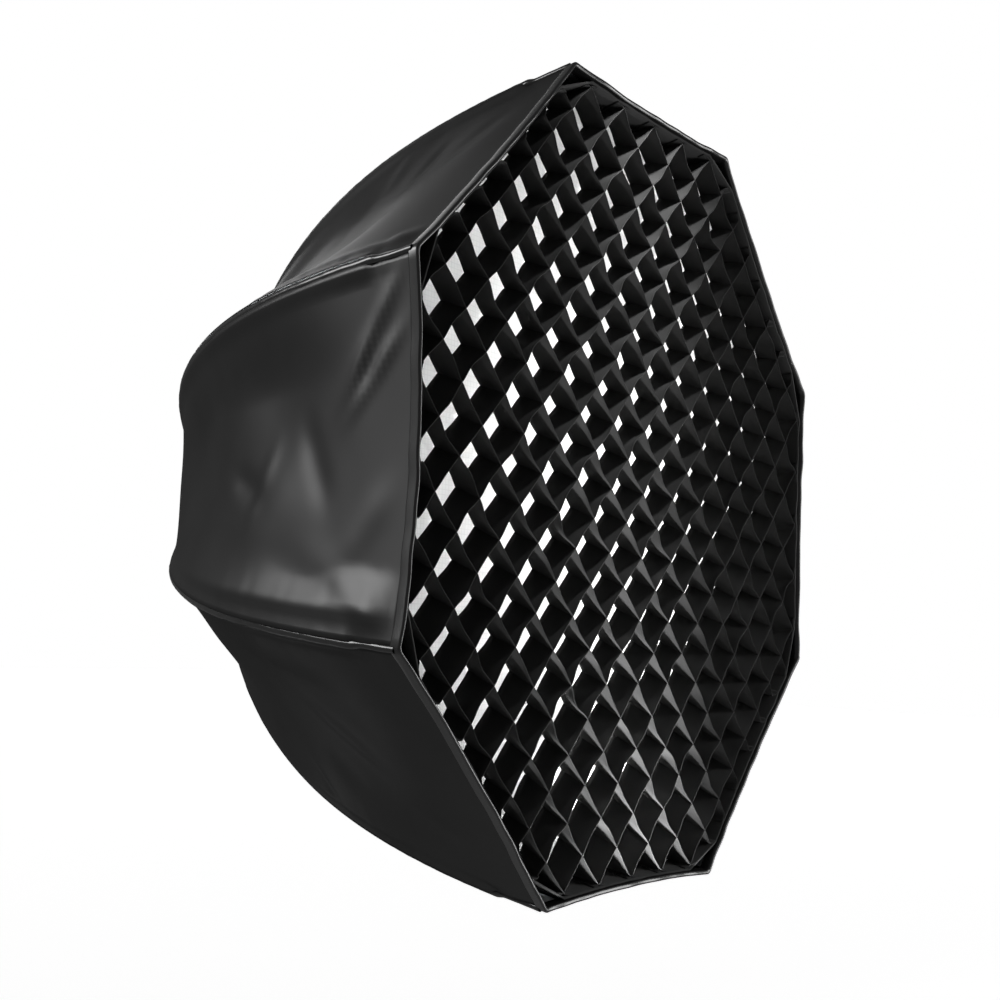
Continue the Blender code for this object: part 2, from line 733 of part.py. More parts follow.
def make_baffle(parent):
    """The smaller white baffle inside, hung from the rods by straps."""
    work = bmesh.new()
    lie = Matrix.Translation((0, BAFFLE_Y, 0)) @ Matrix.Rotation(math.pi / 2, 4, "X")
    lie = Matrix.Rotation(-HALF_SIDE, 4, "Y") @ lie
    bmesh.ops.create_cone(
        work, cap_ends=True, segments=SIDES, radius1=BAFFLE_RADIUS, radius2=BAFFLE_RADIUS, depth=FABRIC, matrix=lie
    )
    mesh = bpy.data.meshes.new("baffle")
    work.to_mesh(mesh)
    work.free()
    add_part("inner_baffle", mesh, WHITE_NYLON, parent)
    rod, lean = rod_chord(BAFFLE_Y)
    reach = (ROD_RADIUS + CLEARANCE) / math.cos(lean) + STRAP_DEPTH / 2 * math.tan(lean)
    inner = BAFFLE_RADIUS + CLEARANCE
    outer = rod.x - reach
    strap = box((outer - inner, STRAP_DEPTH, STRAP_WIDTH), Vector(((inner + outer) / 2, BAFFLE_Y, 0)))
    for index in range(SIDES // STRAP_EVERY):
        turn = rod_angle(index * STRAP_EVERY)
        add_part(f"baffle_strap_{index + 1}", strap, BLACK_WEBBING, parent, turn)


def axis_empty(name, parent=None, location=(0, 0, 0)):
    """An empty on a joint's axis, which carries the pieces that move together."""
    empty = bpy.data.objects.new(name, None)
    empty.parent = parent
    empty.location = location
    PARTS.objects.link(empty)
    return empty


def build():
    mount = axis_empty("mount_axis")
    turning = axis_empty("turning_axis", mount)
    make_mount_ring(mount)
    make_retainer(mount)
    make_speed_ring(turning)
    make_lock(axis_empty("lock_axis", turning, (0, LOCK_Y, 0)))
    make_cuff(turning)
    make_shell(turning)
    make_hem(turning)
    make_loop_tape(turning)
    make_baffle(turning)
    make_grid(axis_empty("grid_axis", turning))
    make_diffuser(axis_empty("diffuser_axis", turning))


clear_scene()
PARTS = new_collection("studio_softbox")
CUTTERS = new_collection("cutters")
build()
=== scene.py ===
"""Looks of an octagonal softbox: sewn shell, honeycomb grid, diffusers, ring finishes, stage and camera."""

import math
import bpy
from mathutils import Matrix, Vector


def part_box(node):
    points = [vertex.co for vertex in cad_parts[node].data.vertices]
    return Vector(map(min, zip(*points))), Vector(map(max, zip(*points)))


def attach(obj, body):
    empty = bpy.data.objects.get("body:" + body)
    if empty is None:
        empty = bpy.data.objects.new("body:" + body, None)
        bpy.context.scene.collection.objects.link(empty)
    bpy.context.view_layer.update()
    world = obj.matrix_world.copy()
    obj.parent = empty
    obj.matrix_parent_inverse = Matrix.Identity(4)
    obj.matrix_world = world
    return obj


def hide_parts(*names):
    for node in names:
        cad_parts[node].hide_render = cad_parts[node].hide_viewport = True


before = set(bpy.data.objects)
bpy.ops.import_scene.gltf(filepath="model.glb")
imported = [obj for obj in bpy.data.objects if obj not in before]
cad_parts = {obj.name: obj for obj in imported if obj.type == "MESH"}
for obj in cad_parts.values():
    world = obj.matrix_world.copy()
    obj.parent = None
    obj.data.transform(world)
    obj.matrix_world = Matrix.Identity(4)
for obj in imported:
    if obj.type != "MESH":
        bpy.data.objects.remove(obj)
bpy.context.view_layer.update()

from types import SimpleNamespace

import bmesh
import bpy
import numpy as np
from bpy.props import FloatProperty, FloatVectorProperty, PointerProperty
from mathutils import Matrix, Vector

bl_info = {
    "name": "Octagonal softbox looks",
    "version": (1, 0, 0),
    "blender": (4, 5, 0),
    "location": "View3D > Sidebar > Softbox",
    "description": "Sews, finishes and lights an octagonal studio softbox around its CAD frame",
    "category": "Object",
}

# Shape of the bent rods and of the front lip, as the solids have them, in metres and radians
SIDES = 8
HALF_SIDE = math.pi / SIDES
COSINE = math.cos(HALF_SIDE)
SINE = math.sin(HALF_SIDE)
CORNER_RADIUS = 0.475
LEAN_AT_SOCKET = math.radians(72)
LEAN_AT_FRONT = math.radians(10.5)
BEND_POWER = 1.75
MOUTH = np.array((0.0966296, -0.0386525))
ROD_TO_RIDGE = 0.0068
SOCKET_TO_RIDGE = 0.0088
SOCKET_FAIRING = 0.12
PANEL_START = -0.0181
PIPING_START = -0.0145
PANEL_SAG = 0.012
CLOTH_ALLOWANCE = 0.0012
LINE_STEPS = 600
FRONT_Y = -0.623247
SLACK_REACH = 0.25
LEFT_SIDE = 4
LIP_DEPTH = 0.083
LIP_FOOT = 0.715
LIP_FOOT_DROP = 0.009
TIP_GAP = 0.050
TIP_FADE = 0.010

SHARES = (np.arange(LINE_STEPS) + 0.5) / LINE_STEPS
MID_LEANS = LEAN_AT_FRONT + (LEAN_AT_SOCKET - LEAN_AT_FRONT) * (1 - SHARES) ** BEND_POWER
ROD_END_RADIUS = CORNER_RADIUS - 0.004 - ROD_TO_RIDGE * math.cos(LEAN_AT_FRONT)
LINE_LENGTH = (ROD_END_RADIUS - MOUTH[0]) * LINE_STEPS / np.sin(MID_LEANS).sum()
STEPS = np.stack((np.sin(MID_LEANS), -np.cos(MID_LEANS)), 1) * LINE_LENGTH / LINE_STEPS
LINE = np.vstack((MOUTH, MOUTH + np.cumsum(STEPS, 0)))


def linear(code):
    """Linear RGBA of an sRGB hex colour."""
    parts = [int(code[i : i + 2], 16) / 255 for i in (1, 3, 5)]
    return (*[p / 12.92 if p <= 0.04045 else ((p + 0.055) / 1.055) ** 2.4 for p in parts], 1.0)


def length_prop(name, text, default):
    return FloatProperty(name=name, description=text, default=default, unit="LENGTH", precision=4)


def colour_prop(name, text, code):
    return FloatVectorProperty(name=name, description=text, size=4, subtype="COLOR", default=linear(code))


class SoftboxSizes(bpy.types.PropertyGroup):
    """Sizes of the soft pieces"""

    cloth: length_prop("Shell cloth", "Thickness of the coated cloth of the shell", 0.0008)
    billow: length_prop("Billow", "How far the shell cloth swells and dips between its seams", 0.0026)
    gravity: length_prop("Hang", "How far the shell cloth hangs out of true under its own weight", 0.015)
    seam_roll: length_prop("Seam roll", "How far the cloth rises over the rods at its seams", 0.0042)
    pucker: length_prop("Pucker", "Height of the small gathers beside the seams", 0.0002)
    corner_fold: length_prop("Corner folds", "Height of the folds fanning out from the corners", 0.0009)
    piping: length_prop("Piping", "Radius of the corded seam over each rod", 0.0046)
    strip: length_prop("Grid strip", "Thickness of a grid strip's folded front edge", 0.0013)
    sway: length_prop("Grid sway", "How far a grid strip bellies out between two crossings", 0.0022)
    droop: length_prop("Grid droop", "How far the strips' front edges hang below their rear edges", 0.0112)
    cell: length_prop("Grid cell", "Pitch of the grid strips", 0.050)
    floor_drop: length_prop("Floor drop", "How far the floor lies below the softbox's axis", 1.50)
    edge_slack: FloatVectorProperty(
        name="Edge slack",
        description="How far each side of the front rim is drawn in at its middle, from the +X side on",
        size=SIDES,
        unit="LENGTH",
        default=(0.004, 0.006, 0.004, 0.004, 0.014, 0.005, 0.006, 0.004),
    )


class SoftboxColours(bpy.types.PropertyGroup):
    """Colours of the finishes"""

    nylon: colour_prop("Black nylon", "Outside of the shell", "#121212")
    lining: colour_prop("Silver lining", "Inside of the shell", "#c8cacc")
    strip: colour_prop("Grid cloth", "Strips of the honeycomb grid", "#303030")
    webbing: colour_prop("Black webbing", "Tapes, straps, cuff and pockets", "#121212")
    binding: colour_prop("Satin binding", "Corded seams and front hem", "#0e0e0e")
    white: colour_prop("White nylon", "Front diffuser and inner baffle", "#f1f1ee")
    steel: colour_prop("Spring steel", "Rods and screws", "#8f9297")
    aluminium: colour_prop("Cast aluminium", "Rings and sockets", "#8f9296")
    plastic: colour_prop("Black ABS", "Lock knob", "#1a1a1b")
    floor: colour_prop("Floor", "Floor of the stage", "#f0f0f0")


# Lines of the rods, seams and front rim


def rod_at(distances):
    """Centres (radius, y) of a rod at distances from its socket's mouth, straight beyond both ends."""
    steps = np.clip(distances / LINE_LENGTH * LINE_STEPS, 0, LINE_STEPS)
    index = np.arange(LINE_STEPS + 1)
    centres = np.stack([np.interp(steps, index, LINE[:, i]) for i in (0, 1)], -1)
    before = np.minimum(distances, 0)[..., None]
    after = np.maximum(distances - LINE_LENGTH, 0)[..., None]
    first = np.array((math.sin(LEAN_AT_SOCKET), -math.cos(LEAN_AT_SOCKET)))
    last = np.array((math.sin(LEAN_AT_FRONT), -math.cos(LEAN_AT_FRONT)))
    return centres + before * first + after * last


def lean_at(distances):
    share = np.clip(distances / LINE_LENGTH, 0, 1)
    return LEAN_AT_FRONT + (LEAN_AT_SOCKET - LEAN_AT_FRONT) * (1 - share) ** BEND_POWER


def outward_at(distances):
    """Unit steps (radius, y) square to the rod, away from the inside."""
    leans = lean_at(distances)
    return np.stack((np.cos(leans), np.sin(leans)), -1)


def ridge_at(distances):
    """The seam's ridge (radius, y) over the rod, lifted near the socket."""
    lift = np.clip(1 - np.maximum(distances, 0) / SOCKET_FAIRING, 0, 1) ** 2
    gap = ROD_TO_RIDGE + (SOCKET_TO_RIDGE - ROD_TO_RIDGE) * lift
    return rod_at(distances) + outward_at(distances) * gap[..., None]


def smooth(values, start=0, end=1):
    """Smooth step of values, 0 up to the start and 1 from the end on."""
    held = np.clip((values - start) / (end - start), 0, 1)
    return held * held * (3 - 2 * held)


def past_tip(distances):
    """0 where a rod lies under the seam and 1 past the rod's tip."""
    return smooth(distances, LINE_LENGTH - TIP_GAP, LINE_LENGTH - TIP_GAP + TIP_FADE)


def slack_at(y):
    """Share of a rim side's slack that is left at y, full at the front and none deep in the shell."""
    return smooth(np.asarray(y), FRONT_Y + SLACK_REACH, FRONT_Y)


def ripple(x, y, seed, shortest, longest, count=12):
    """A smooth random swell of about unit height over metres x and y, from plane waves of these lengths."""
    rng = np.random.default_rng(seed)
    total = np.zeros(np.broadcast(x, y).shape)
    for _ in range(count):
        turn = rng.uniform(0, 2 * math.pi)
        length = shortest * (longest / shortest) ** rng.random()
        phase = rng.uniform(0, 2 * math.pi)
        total += np.sin((x * math.cos(turn) + y * math.sin(turn)) * 2 * math.pi / length + phase)
    return total / math.sqrt(count / 2)


def turned(points, angle):
    """Points turned about the softbox's axis, from the +X side towards +Z."""
    out = np.array(points, float)
    out[..., 0] = points[..., 0] * math.cos(angle) - points[..., 2] * math.sin(angle)
    out[..., 2] = points[..., 0] * math.sin(angle) + points[..., 2] * math.cos(angle)
    return out


def lip_loop(y, inset, slack, across=36):
    """Points (x, z) round the front lip at y, inset from its walls, with cut corners and slack sides."""
    walls = []
    for distance in (LINE_LENGTH - LIP_DEPTH, LINE_LENGTH):
        point = ridge_at(np.array([distance]))[0]
        sag = PANEL_SAG * math.sin(math.pi * distance / LINE_LENGTH) ** 2
        walls.append((point[0] * COSINE - sag - CLOTH_ALLOWANCE, point[1]))
    slope = (walls[1][0] - walls[0][0]) / (walls[1][1] - walls[0][1])
    flat = walls[0][0] + slope * (y - walls[0][1]) - inset
    foot = rod_at(np.array([LIP_FOOT]))[0] - outward_at(np.array([LINE_LENGTH]))[0] * LIP_FOOT_DROP
    corner = foot[0] + (foot[1] - y) * math.tan(LEAN_AT_FRONT) - inset
    reach = (corner - flat * COSINE) / SINE
    along = np.linspace(-reach, reach, across)
    bow = slack_at(y) * (1 - (along / (flat * math.tan(HALF_SIDE))) ** 2)
    sides = []
    for side in range(SIDES):
        local = np.stack((flat - slack[side] * bow, np.full(across, y), along), -1)
        sides.append(turned(local, side * 2 * HALF_SIDE)[:, [0, 2]])
    return np.concatenate(sides)


def rim_loop(apothem, y, slack, rounding=0.010, across=44, bend=7):
    """Points (x, z) round the outer rim, an octagon with rounded corners and slack sides."""
    reach = (apothem - rounding) * math.tan(HALF_SIDE)
    along = np.linspace(-reach, reach, across)
    bow = slack_at(y) * (1 - (along / reach) ** 2)
    arc = np.linspace(-HALF_SIDE, HALF_SIDE, bend + 2)[1:-1]
    centre = (apothem - rounding) / COSINE
    parts = []
    for side in range(SIDES):
        local = np.stack((apothem - slack[side] * bow, np.zeros(across), along), -1)
        parts.append(turned(local, side * 2 * HALF_SIDE)[:, [0, 2]])
        turn = side * 2 * HALF_SIDE + HALF_SIDE
        middle = centre * np.array((math.cos(turn), math.sin(turn)))
        parts.append(middle + rounding * np.stack((np.cos(turn + arc), np.sin(turn + arc)), -1))
    return np.concatenate(parts)


def run_of(loop):
    """Distance round a closed loop at each of its points and once more at its start."""
    steps = np.linalg.norm(np.roll(loop, -1, 0) - loop, axis=1)
    return np.concatenate(((0,), np.cumsum(steps)))


def with_y(loop, y):
    return np.stack((loop[:, 0], np.broadcast_to(y, len(loop)), loop[:, 1]), -1)


# Meshes from grids of points


def surface(points, u, v, wrap_rows=False, wrap_cols=False, capped=False):
    """A grid of points with cloth coordinates in metres, which may close on itself either way."""
    rows, cols = points.shape[:2]
    last_row = rows if wrap_rows else rows - 1
    last_col = cols if wrap_cols else cols - 1
    i, j = np.meshgrid(np.arange(last_row), np.arange(last_col), indexing="ij")
    corners = ((i, j), (i, j + 1), (i + 1, j + 1), (i + 1, j))
    faces = np.stack([(r % rows) * cols + c % cols for r, c in corners], -1).reshape(-1, 4)
    shape = (rows + wrap_rows, cols + wrap_cols)
    across = np.broadcast_to(u, shape)
    down = np.broadcast_to(np.asarray(v)[:, None] if np.ndim(v) == 1 else v, shape)
    cloth = np.stack([np.stack((across[r, c], down[r, c]), -1) for r, c in corners], -2).reshape(-1, 4, 2)
    if capped:
        half = rows // 2
        extra = []
        for end in (0, cols - 1):
            for k in range(half - 1):
                pair = (k, k + 1, rows - 2 - k, rows - 1 - k)
                extra.append([r * cols + end for r in (pair if end == 0 else pair[::-1])])
        faces = np.vstack((faces, extra))
        cloth = np.vstack((cloth, np.zeros((len(extra), 4, 2))))
    return {"points": points.reshape(-1, 3), "faces": faces, "cloth": cloth}


def disc(loop, y, rings):
    """A flat cloth inside a loop, as rings of points round a middle one."""
    shares = np.linspace(0, 1, rings + 1)[1:]
    net = surface(np.stack([with_y(loop * s, y) for s in shares]), 0, shares, wrap_cols=True)
    first = np.arange(len(loop))
    fan = np.stack((np.full(len(loop), rings * len(loop)), np.roll(first, -1), first), -1)
    points = np.vstack((net["points"], (0, y, 0)))
    return {"points": points, "faces": [*net["faces"].tolist(), *fan.tolist()], "cloth": None}


def add_mesh(name, surfaces, finishes, outward=True):
    """One object from several surfaces, smooth, with cloth coordinates in metres as its UV map."""
    points = []
    faces = []
    cloth = []
    for part in surfaces:
        start = sum(len(p) for p in points)
        points.append(part["points"])
        flat = part["points"][:, [0, 2]]
        for k, face in enumerate(part["faces"]):
            faces.append([int(n) + start for n in face])
            cloth.append(part["cloth"][k] if part["cloth"] is not None else flat[list(face)])
    mesh = bpy.data.meshes.new(name)
    mesh.from_pydata(np.concatenate(points).tolist(), [], faces)
    layer = mesh.uv_layers.new(name="UVMap")
    layer.data.foreach_set("uv", np.concatenate(cloth).astype(np.float32).ravel())
    for finish in finishes:
        mesh.materials.append(finish)
    if outward:
        work = bmesh.new()
        work.from_mesh(mesh)
        bmesh.ops.recalc_face_normals(work, faces=work.faces)
        work.to_mesh(mesh)
        work.free()
    mesh.shade_smooth()
    obj = bpy.data.objects.new(name, mesh)
    bpy.context.scene.collection.objects.link(obj)
    return obj


def add_piece(how, node, surfaces, recipes, body="softbox", thickness=0.0, outward=True):
    """A soft piece on its CAD body, in place of the node it stands for. Cloth gets its thickness inwards."""
    obj = add_mesh(f"{how}_{node}", surfaces, [finish_of(recipe) for recipe in recipes], outward)
    if thickness:
        solid = obj.modifiers.new("Cloth thickness", "SOLIDIFY")
        solid.thickness = thickness
        solid.offset = -1
        # The inner face has the last finish
        solid.material_offset = len(recipes) - 1
    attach(obj, body)
    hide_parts(node)
    return obj


def band(section, loop_at, shake=0.0, seed=0):
    """A closed tape round the rim. section lists (y, inset) round its cross-section."""
    points = np.stack([with_y(loop_at(y, inset), y) for y, inset in section])
    run = run_of(points[0][:, [0, 2]])
    points[..., 1] += shake * ripple(run[:-1], 0 * run[:-1], seed, 0.03, 0.12)
    steps = [math.dist(section[k - 1], section[k]) for k in range(len(section))]
    around = np.concatenate(((0,), np.cumsum(steps)))
    return surface(points, run, around, wrap_rows=True, wrap_cols=True)


def rounded(rear, front, outer, inner, edge, steps=4):
    """Cross-section (y, inset) of a tape with rounded edges, all round."""
    section = []
    for y, inset, first, last in (
        (front + edge, outer + edge, (0, -1), (-1, 0)),
        (front + edge, inner - edge, (-1, 0), (0, 1)),
        (rear - edge, inner - edge, (0, 1), (1, 0)),
        (rear - edge, outer + edge, (1, 0), (0, -1)),
    ):
        for turn in np.linspace(0, math.pi / 2, steps + 1):
            near = edge * math.cos(turn)
            far = edge * math.sin(turn)
            section.append((y + first[0] * near + last[0] * far, inset + first[1] * near + last[1] * far))
    return section


# Materials


def add_node(tree, kind, links=None, **settings):
    """Adds a node, with its settings and with values or links for its inputs."""
    made = tree.nodes.new(kind)
    for key, value in settings.items():
        setattr(made, key, value)
    for key, value in (links or {}).items():
        if isinstance(value, bpy.types.NodeSocket):
            tree.links.new(value, made.inputs[key])
        else:
            made.inputs[key].default_value = value
    return made


def new_finish(name, colour, roughness, **constants):
    """An empty procedural material, its shader and its node tree."""
    made = bpy.data.materials.new(name)
    made.use_nodes = True
    shader = made.node_tree.nodes["Principled BSDF"]
    shader.inputs["Base Color"].default_value = colour
    shader.inputs["Roughness"].default_value = roughness
    for key, value in constants.items():
        shader.inputs[key.replace("_", " ")].default_value = value
    return made, shader, made.node_tree


def cloth_finish(name, colour, roughness, coat, **constants):
    """A cloth whose threads scatter light, so that its shine is all in a thin coat."""
    return new_finish(name, colour, roughness, Specular_IOR_Level=0.0, Coat_Weight=coat, **constants)


def place_on(tree, kind):
    """Metres over the cloth (UV) or through the body (Object)."""
    return add_node(tree, "ShaderNodeTexCoord").outputs[kind]


def threads(tree, place, spacing, direction="X"):
    """Soft parallel threads or ribs, this many metres apart."""
    # A wave texture of scale 1 repeats every pi / 10
    links = {"Vector": place, "Scale": math.pi / 10 / spacing}
    return add_node(tree, "ShaderNodeTexWave", links, bands_direction=direction).outputs["Fac"]


def grain(tree, place, size, detail):
    """Random grain of about this many metres."""
    links = {"Vector": place, "Scale": 1 / size, "Detail": detail}
    return add_node(tree, "ShaderNodeTexNoise", links).outputs["Fac"]


def joined(tree, first, second, operation):
    return add_node(tree, "ShaderNodeMath", {0: first, 1: second}, operation=operation).outputs[0]


def vary_colour(tree, shader, factor, first, second):
    shade = add_node(tree, "ShaderNodeMix", {"Factor": factor, "A": first, "B": second}, data_type="RGBA")
    tree.links.new(shade.outputs["Result"], shader.inputs["Base Color"])


def vary_roughness(tree, shader, factor, low, high):
    rough = add_node(tree, "ShaderNodeMapRange", {"Value": factor, "To Min": low, "To Max": high})
    tree.links.new(rough.outputs["Result"], shader.inputs["Roughness"])


def emboss(tree, shader, height, strength, depth=0.0002):
    """Raises the surface by a pattern of this depth in metres."""
    bump = add_node(tree, "ShaderNodeBump", {"Height": height, "Strength": strength, "Distance": depth})
    tree.links.new(bump.outputs["Normal"], shader.inputs["Normal"])


def coated_nylon(colours):
    """Oxford nylon, woven and coated: a broad soft sheen, a fine plain weave and a faint drift of shade."""
    made, shader, tree = cloth_finish(
        "coated_nylon_black", colours.nylon, 0.5, 0.024, IOR=1.53, Coat_Roughness=0.35, Coat_IOR=3.2
    )
    place = place_on(tree, "UV")
    # Threads lie 0.35 mm apart, too fine to show, so the weave is drawn at 1.6 mm
    weave = joined(tree, threads(tree, place, 0.0016), threads(tree, place, 0.0016, "Y"), "MULTIPLY")
    drift = grain(tree, place, 0.09, 5.0)
    vary_colour(tree, shader, drift, linear("#0a0a0a"), colours.nylon)
    vary_roughness(tree, shader, drift, 0.36, 0.48)
    emboss(tree, shader, weave, 0.18)
    return made


def satin_binding(colours):
    """Satin bias tape drawn tight over a cord: black, smooth, with a narrow bright glint along its top."""
    made, shader, tree = cloth_finish(
        "satin_bias_tape_black", colours.binding, 0.4, 0.09, IOR=1.53, Coat_Roughness=0.22, Coat_IOR=2.0
    )
    # The satin's floats lie 0.3 mm apart, drawn at 1.4 mm
    emboss(tree, shader, threads(tree, place_on(tree, "UV"), 0.0014, "DIAGONAL"), 0.1)
    return made


def silver_lining(colours):
    """Nylon with a vapour-coated aluminium film: dull mirror with a crinkled, pebbled face."""
    made, shader, tree = new_finish("aluminised_nylon_silver", colours.lining, 0.36, Metallic=0.85)
    # The film's pebbles are about 3 mm across
    pebble = add_node(tree, "ShaderNodeTexVoronoi", {"Vector": place_on(tree, "UV"), "Scale": 1 / 0.003})
    emboss(tree, shader, pebble.outputs["Distance"], 0.5, 0.0003)
    return made


def grid_cloth(colours):
    """Stiffened satin nylon, folded double: a smooth half gloss, with a darker line along its fold."""
    made, shader, tree = cloth_finish(
        "satin_nylon_black", colours.strip, 0.42, 0.04, IOR=1.53, Coat_Roughness=0.35, Sheen_Weight=0.02
    )
    place = place_on(tree, "UV")
    split = add_node(tree, "ShaderNodeSeparateXYZ", {"Vector": place})
    # The fold's line is about 1 mm wide
    fold = add_node(
        tree,
        "ShaderNodeMapRange",
        {"Value": split.outputs["Y"], "From Min": 0.0006, "From Max": 0.0016, "To Min": 1.0, "To Max": 0.0},
    )
    vary_colour(tree, shader, fold.outputs["Result"], colours.strip, linear("#262626"))
    # Threads lie 0.25 mm apart, drawn at 1.2 mm
    emboss(tree, shader, threads(tree, place, 0.0012), 0.12)
    return made


def woven_webbing(colours):
    """Polypropylene webbing, woven in ribs: dull black, with painted highlight on the rib tops and painted
    shade between them.
    """
    made, shader, tree = cloth_finish(
        "polypropylene_webbing_black", colours.webbing, 0.55, 0.05, IOR=1.49, Sheen_Weight=0.02
    )
    # Ribs lie 1.5 mm apart
    ribs = threads(tree, place_on(tree, "UV"), 0.0015)
    # The rib wave also sets the colour: painted highlight on the rib tops and painted shade in the valleys
    # between them
    vary_colour(tree, shader, ribs, linear("#080808"), colours.webbing)
    emboss(tree, shader, ribs, 0.35, 0.0003)
    return made


def white_nylon(colours):
    """Translucent ripstop nylon: matt white with a faint square of thicker threads."""
    made, shader, tree = new_finish(
        "diffusion_nylon_white",
        colours.white,
        0.75,
        IOR=1.53,
        Subsurface_Weight=1.0,
        Subsurface_Scale=0.003,
        Subsurface_Radius=(1, 1, 1),
    )
    place = place_on(tree, "UV")
    # The ripstop's thicker threads lie 5 mm apart
    square = joined(tree, threads(tree, place, 0.005), threads(tree, place, 0.005, "Y"), "MAXIMUM")
    thick = add_node(tree, "ShaderNodeMapRange", {"Value": square, "From Min": 0.9}).outputs["Result"]
    vary_colour(tree, shader, thick, colours.white, linear("#e6e6e3"))
    emboss(tree, shader, thick, 0.2)
    return made


def spring_steel(colours):
    """Drawn spring steel: bright grey, with a fine uneven polish left by its die."""
    made, shader, tree = new_finish("spring_steel_drawn", colours.steel, 0.32, Metallic=1.0)
    # The die's marks are drawn at 0.8 mm
    vary_roughness(tree, shader, grain(tree, place_on(tree, "Object"), 0.0008, 2.0), 0.24, 0.42)
    return made


def cast_aluminium(colours):
    """Die-cast aluminium, bead blasted: pale satin grey with a fine even grain."""
    made, shader, tree = new_finish("aluminium_bead_blasted", colours.aluminium, 0.42, Metallic=1.0)
    # Blasting leaves pits of 0.2 mm, drawn at 0.8 mm
    pits = grain(tree, place_on(tree, "Object"), 0.0008, 3.0)
    vary_roughness(tree, shader, pits, 0.34, 0.52)
    emboss(tree, shader, pits, 0.12)
    return made


def moulded_abs(colours):
    """Moulded ABS: dark, half matt, with the fine spark-eroded grain of its mould."""
    made, shader, tree = new_finish("abs_moulded_black", colours.plastic, 0.45, IOR=1.54)
    # The mould's grain is 0.3 mm, drawn at 0.7 mm
    emboss(tree, shader, grain(tree, place_on(tree, "Object"), 0.0007, 2.0), 0.25)
    return made


FINISHES = {}


def finish_of(recipe):
    """The one material that a recipe makes, made when it is first asked for."""
    if recipe not in FINISHES:
        FINISHES[recipe] = recipe(bpy.context.scene.softbox_colours)
    return FINISHES[recipe]


# Shell panels

PANEL_ROWS = 110
PANEL_COLS = 61
HEM_LAP = 0.006
SEAM_GAP = 0.0024
CREASES = 6
CREASE_HEIGHT = 0.0022

# Wave lengths and reaches of the cloth's relief, in metres
BILLOW_WAVES = (0.16, 0.42)
SEAM_GATHERS = (0.018, 0.05)
HEM_GATHERS = (0.02, 0.06)
GATHERED_AT_SEAM = 0.016
GATHERED_AT_HEM = 0.018
HELD_AT_SEAM = 0.09
HELD_AT_REAR = 0.12
FAN_REACH = 0.11
ROLL_WIDTH = 0.012
TAPE_REACH = 0.045
TAPE_FADE = 0.20

# Hang of an upright panel, as shares of its height, counted down from its upper seam
HOLLOW_END = 0.30
BELLY_START = 0.42
BELLY_END = 0.92
BELLY_POWER = 1.9
BELLY_SIZE = 1.55
TUCK_START = 0.91
TUCK_SIZE = 0.4

# Folds of the left panel, as the photograph shows them
LEFT_CREASES = (
    ((-0.150, 0.695), (-0.060, 0.630), 0.0075, 0.0030),
    ((-0.105, 0.700), (-0.040, 0.640), 0.0065, 0.0022),
    ((-0.125, 0.675), (-0.060, 0.655), 0.010, -0.0016),
    ((-0.030, 0.560), (0.040, 0.600), 0.016, -0.0020),
    ((0.010, 0.420), (0.035, 0.480), 0.014, -0.0030),
    ((-0.010, 0.500), (0.055, 0.470), 0.012, 0.0018),
    ((0.040, 0.690), (0.100, 0.640), 0.016, 0.0012),
    ((0.090, 0.560), (0.125, 0.660), 0.020, 0.0008),
)


def creases(side):
    """Soft folds of one panel, as (start, end, width, height), in metres across and down its cloth."""
    if side == LEFT_SIDE:
        return LEFT_CREASES
    rng = np.random.default_rng(200 + side)
    found = []
    for _ in range(CREASES):
        start = np.array((rng.uniform(-0.10, 0.10), rng.uniform(0.36, 0.62)))
        turn = rng.uniform(0.3, 1.2) * rng.choice((-1, 1))
        end = start + rng.uniform(0.03, 0.09) * np.array((math.sin(turn), math.cos(turn)))
        width = rng.uniform(0.008, 0.022)
        height = rng.uniform(0.6, 1.0) * rng.choice((-CREASE_HEIGHT, CREASE_HEIGHT))
        found.append((start, end, width, height))
    return found


def crease(across, down, start, end, width):
    """A soft fold of unit height along a line, fading towards its ends."""
    start = np.asarray(start)
    step = np.asarray(end) - start
    length = np.linalg.norm(step)
    along = ((across - start[0]) * step[0] + (down - start[1]) * step[1]) / length
    aside = ((across - start[0]) * step[1] - (down - start[1]) * step[0]) / length
    beyond = np.maximum(np.abs(along - length / 2) - length * 0.2, 0) / (length * 0.4)
    return np.exp(-((aside / width) ** 2) - beyond**2)


def hump(distances, reach):
    """A rise from 0 at an edge to 1 at this reach, and a slow fall beyond it."""
    return distances / reach * np.exp(1 - distances / reach)


def panel_net():
    """A panel's flat cloth: rows down it, columns across it, and metres from its seams and its hem."""
    distances = np.linspace(PANEL_START, LINE_LENGTH + HEM_LAP, PANEL_ROWS)
    half = ridge_at(distances)[:, 0] * SINE - SEAM_GAP
    v = np.linspace(-1, 1, PANEL_COLS)
    across = half[:, None] * v
    return SimpleNamespace(
        distances=distances,
        half=half,
        v=v,
        crown=1 - v**2,
        across=across,
        down=np.broadcast_to(distances[:, None], across.shape),
        share=np.clip(distances / LINE_LENGTH, 0, 1)[:, None],
        from_seam=half[:, None] * (1 - np.abs(v)),
        from_hem=np.maximum(LINE_LENGTH - distances, 0)[:, None],
    )


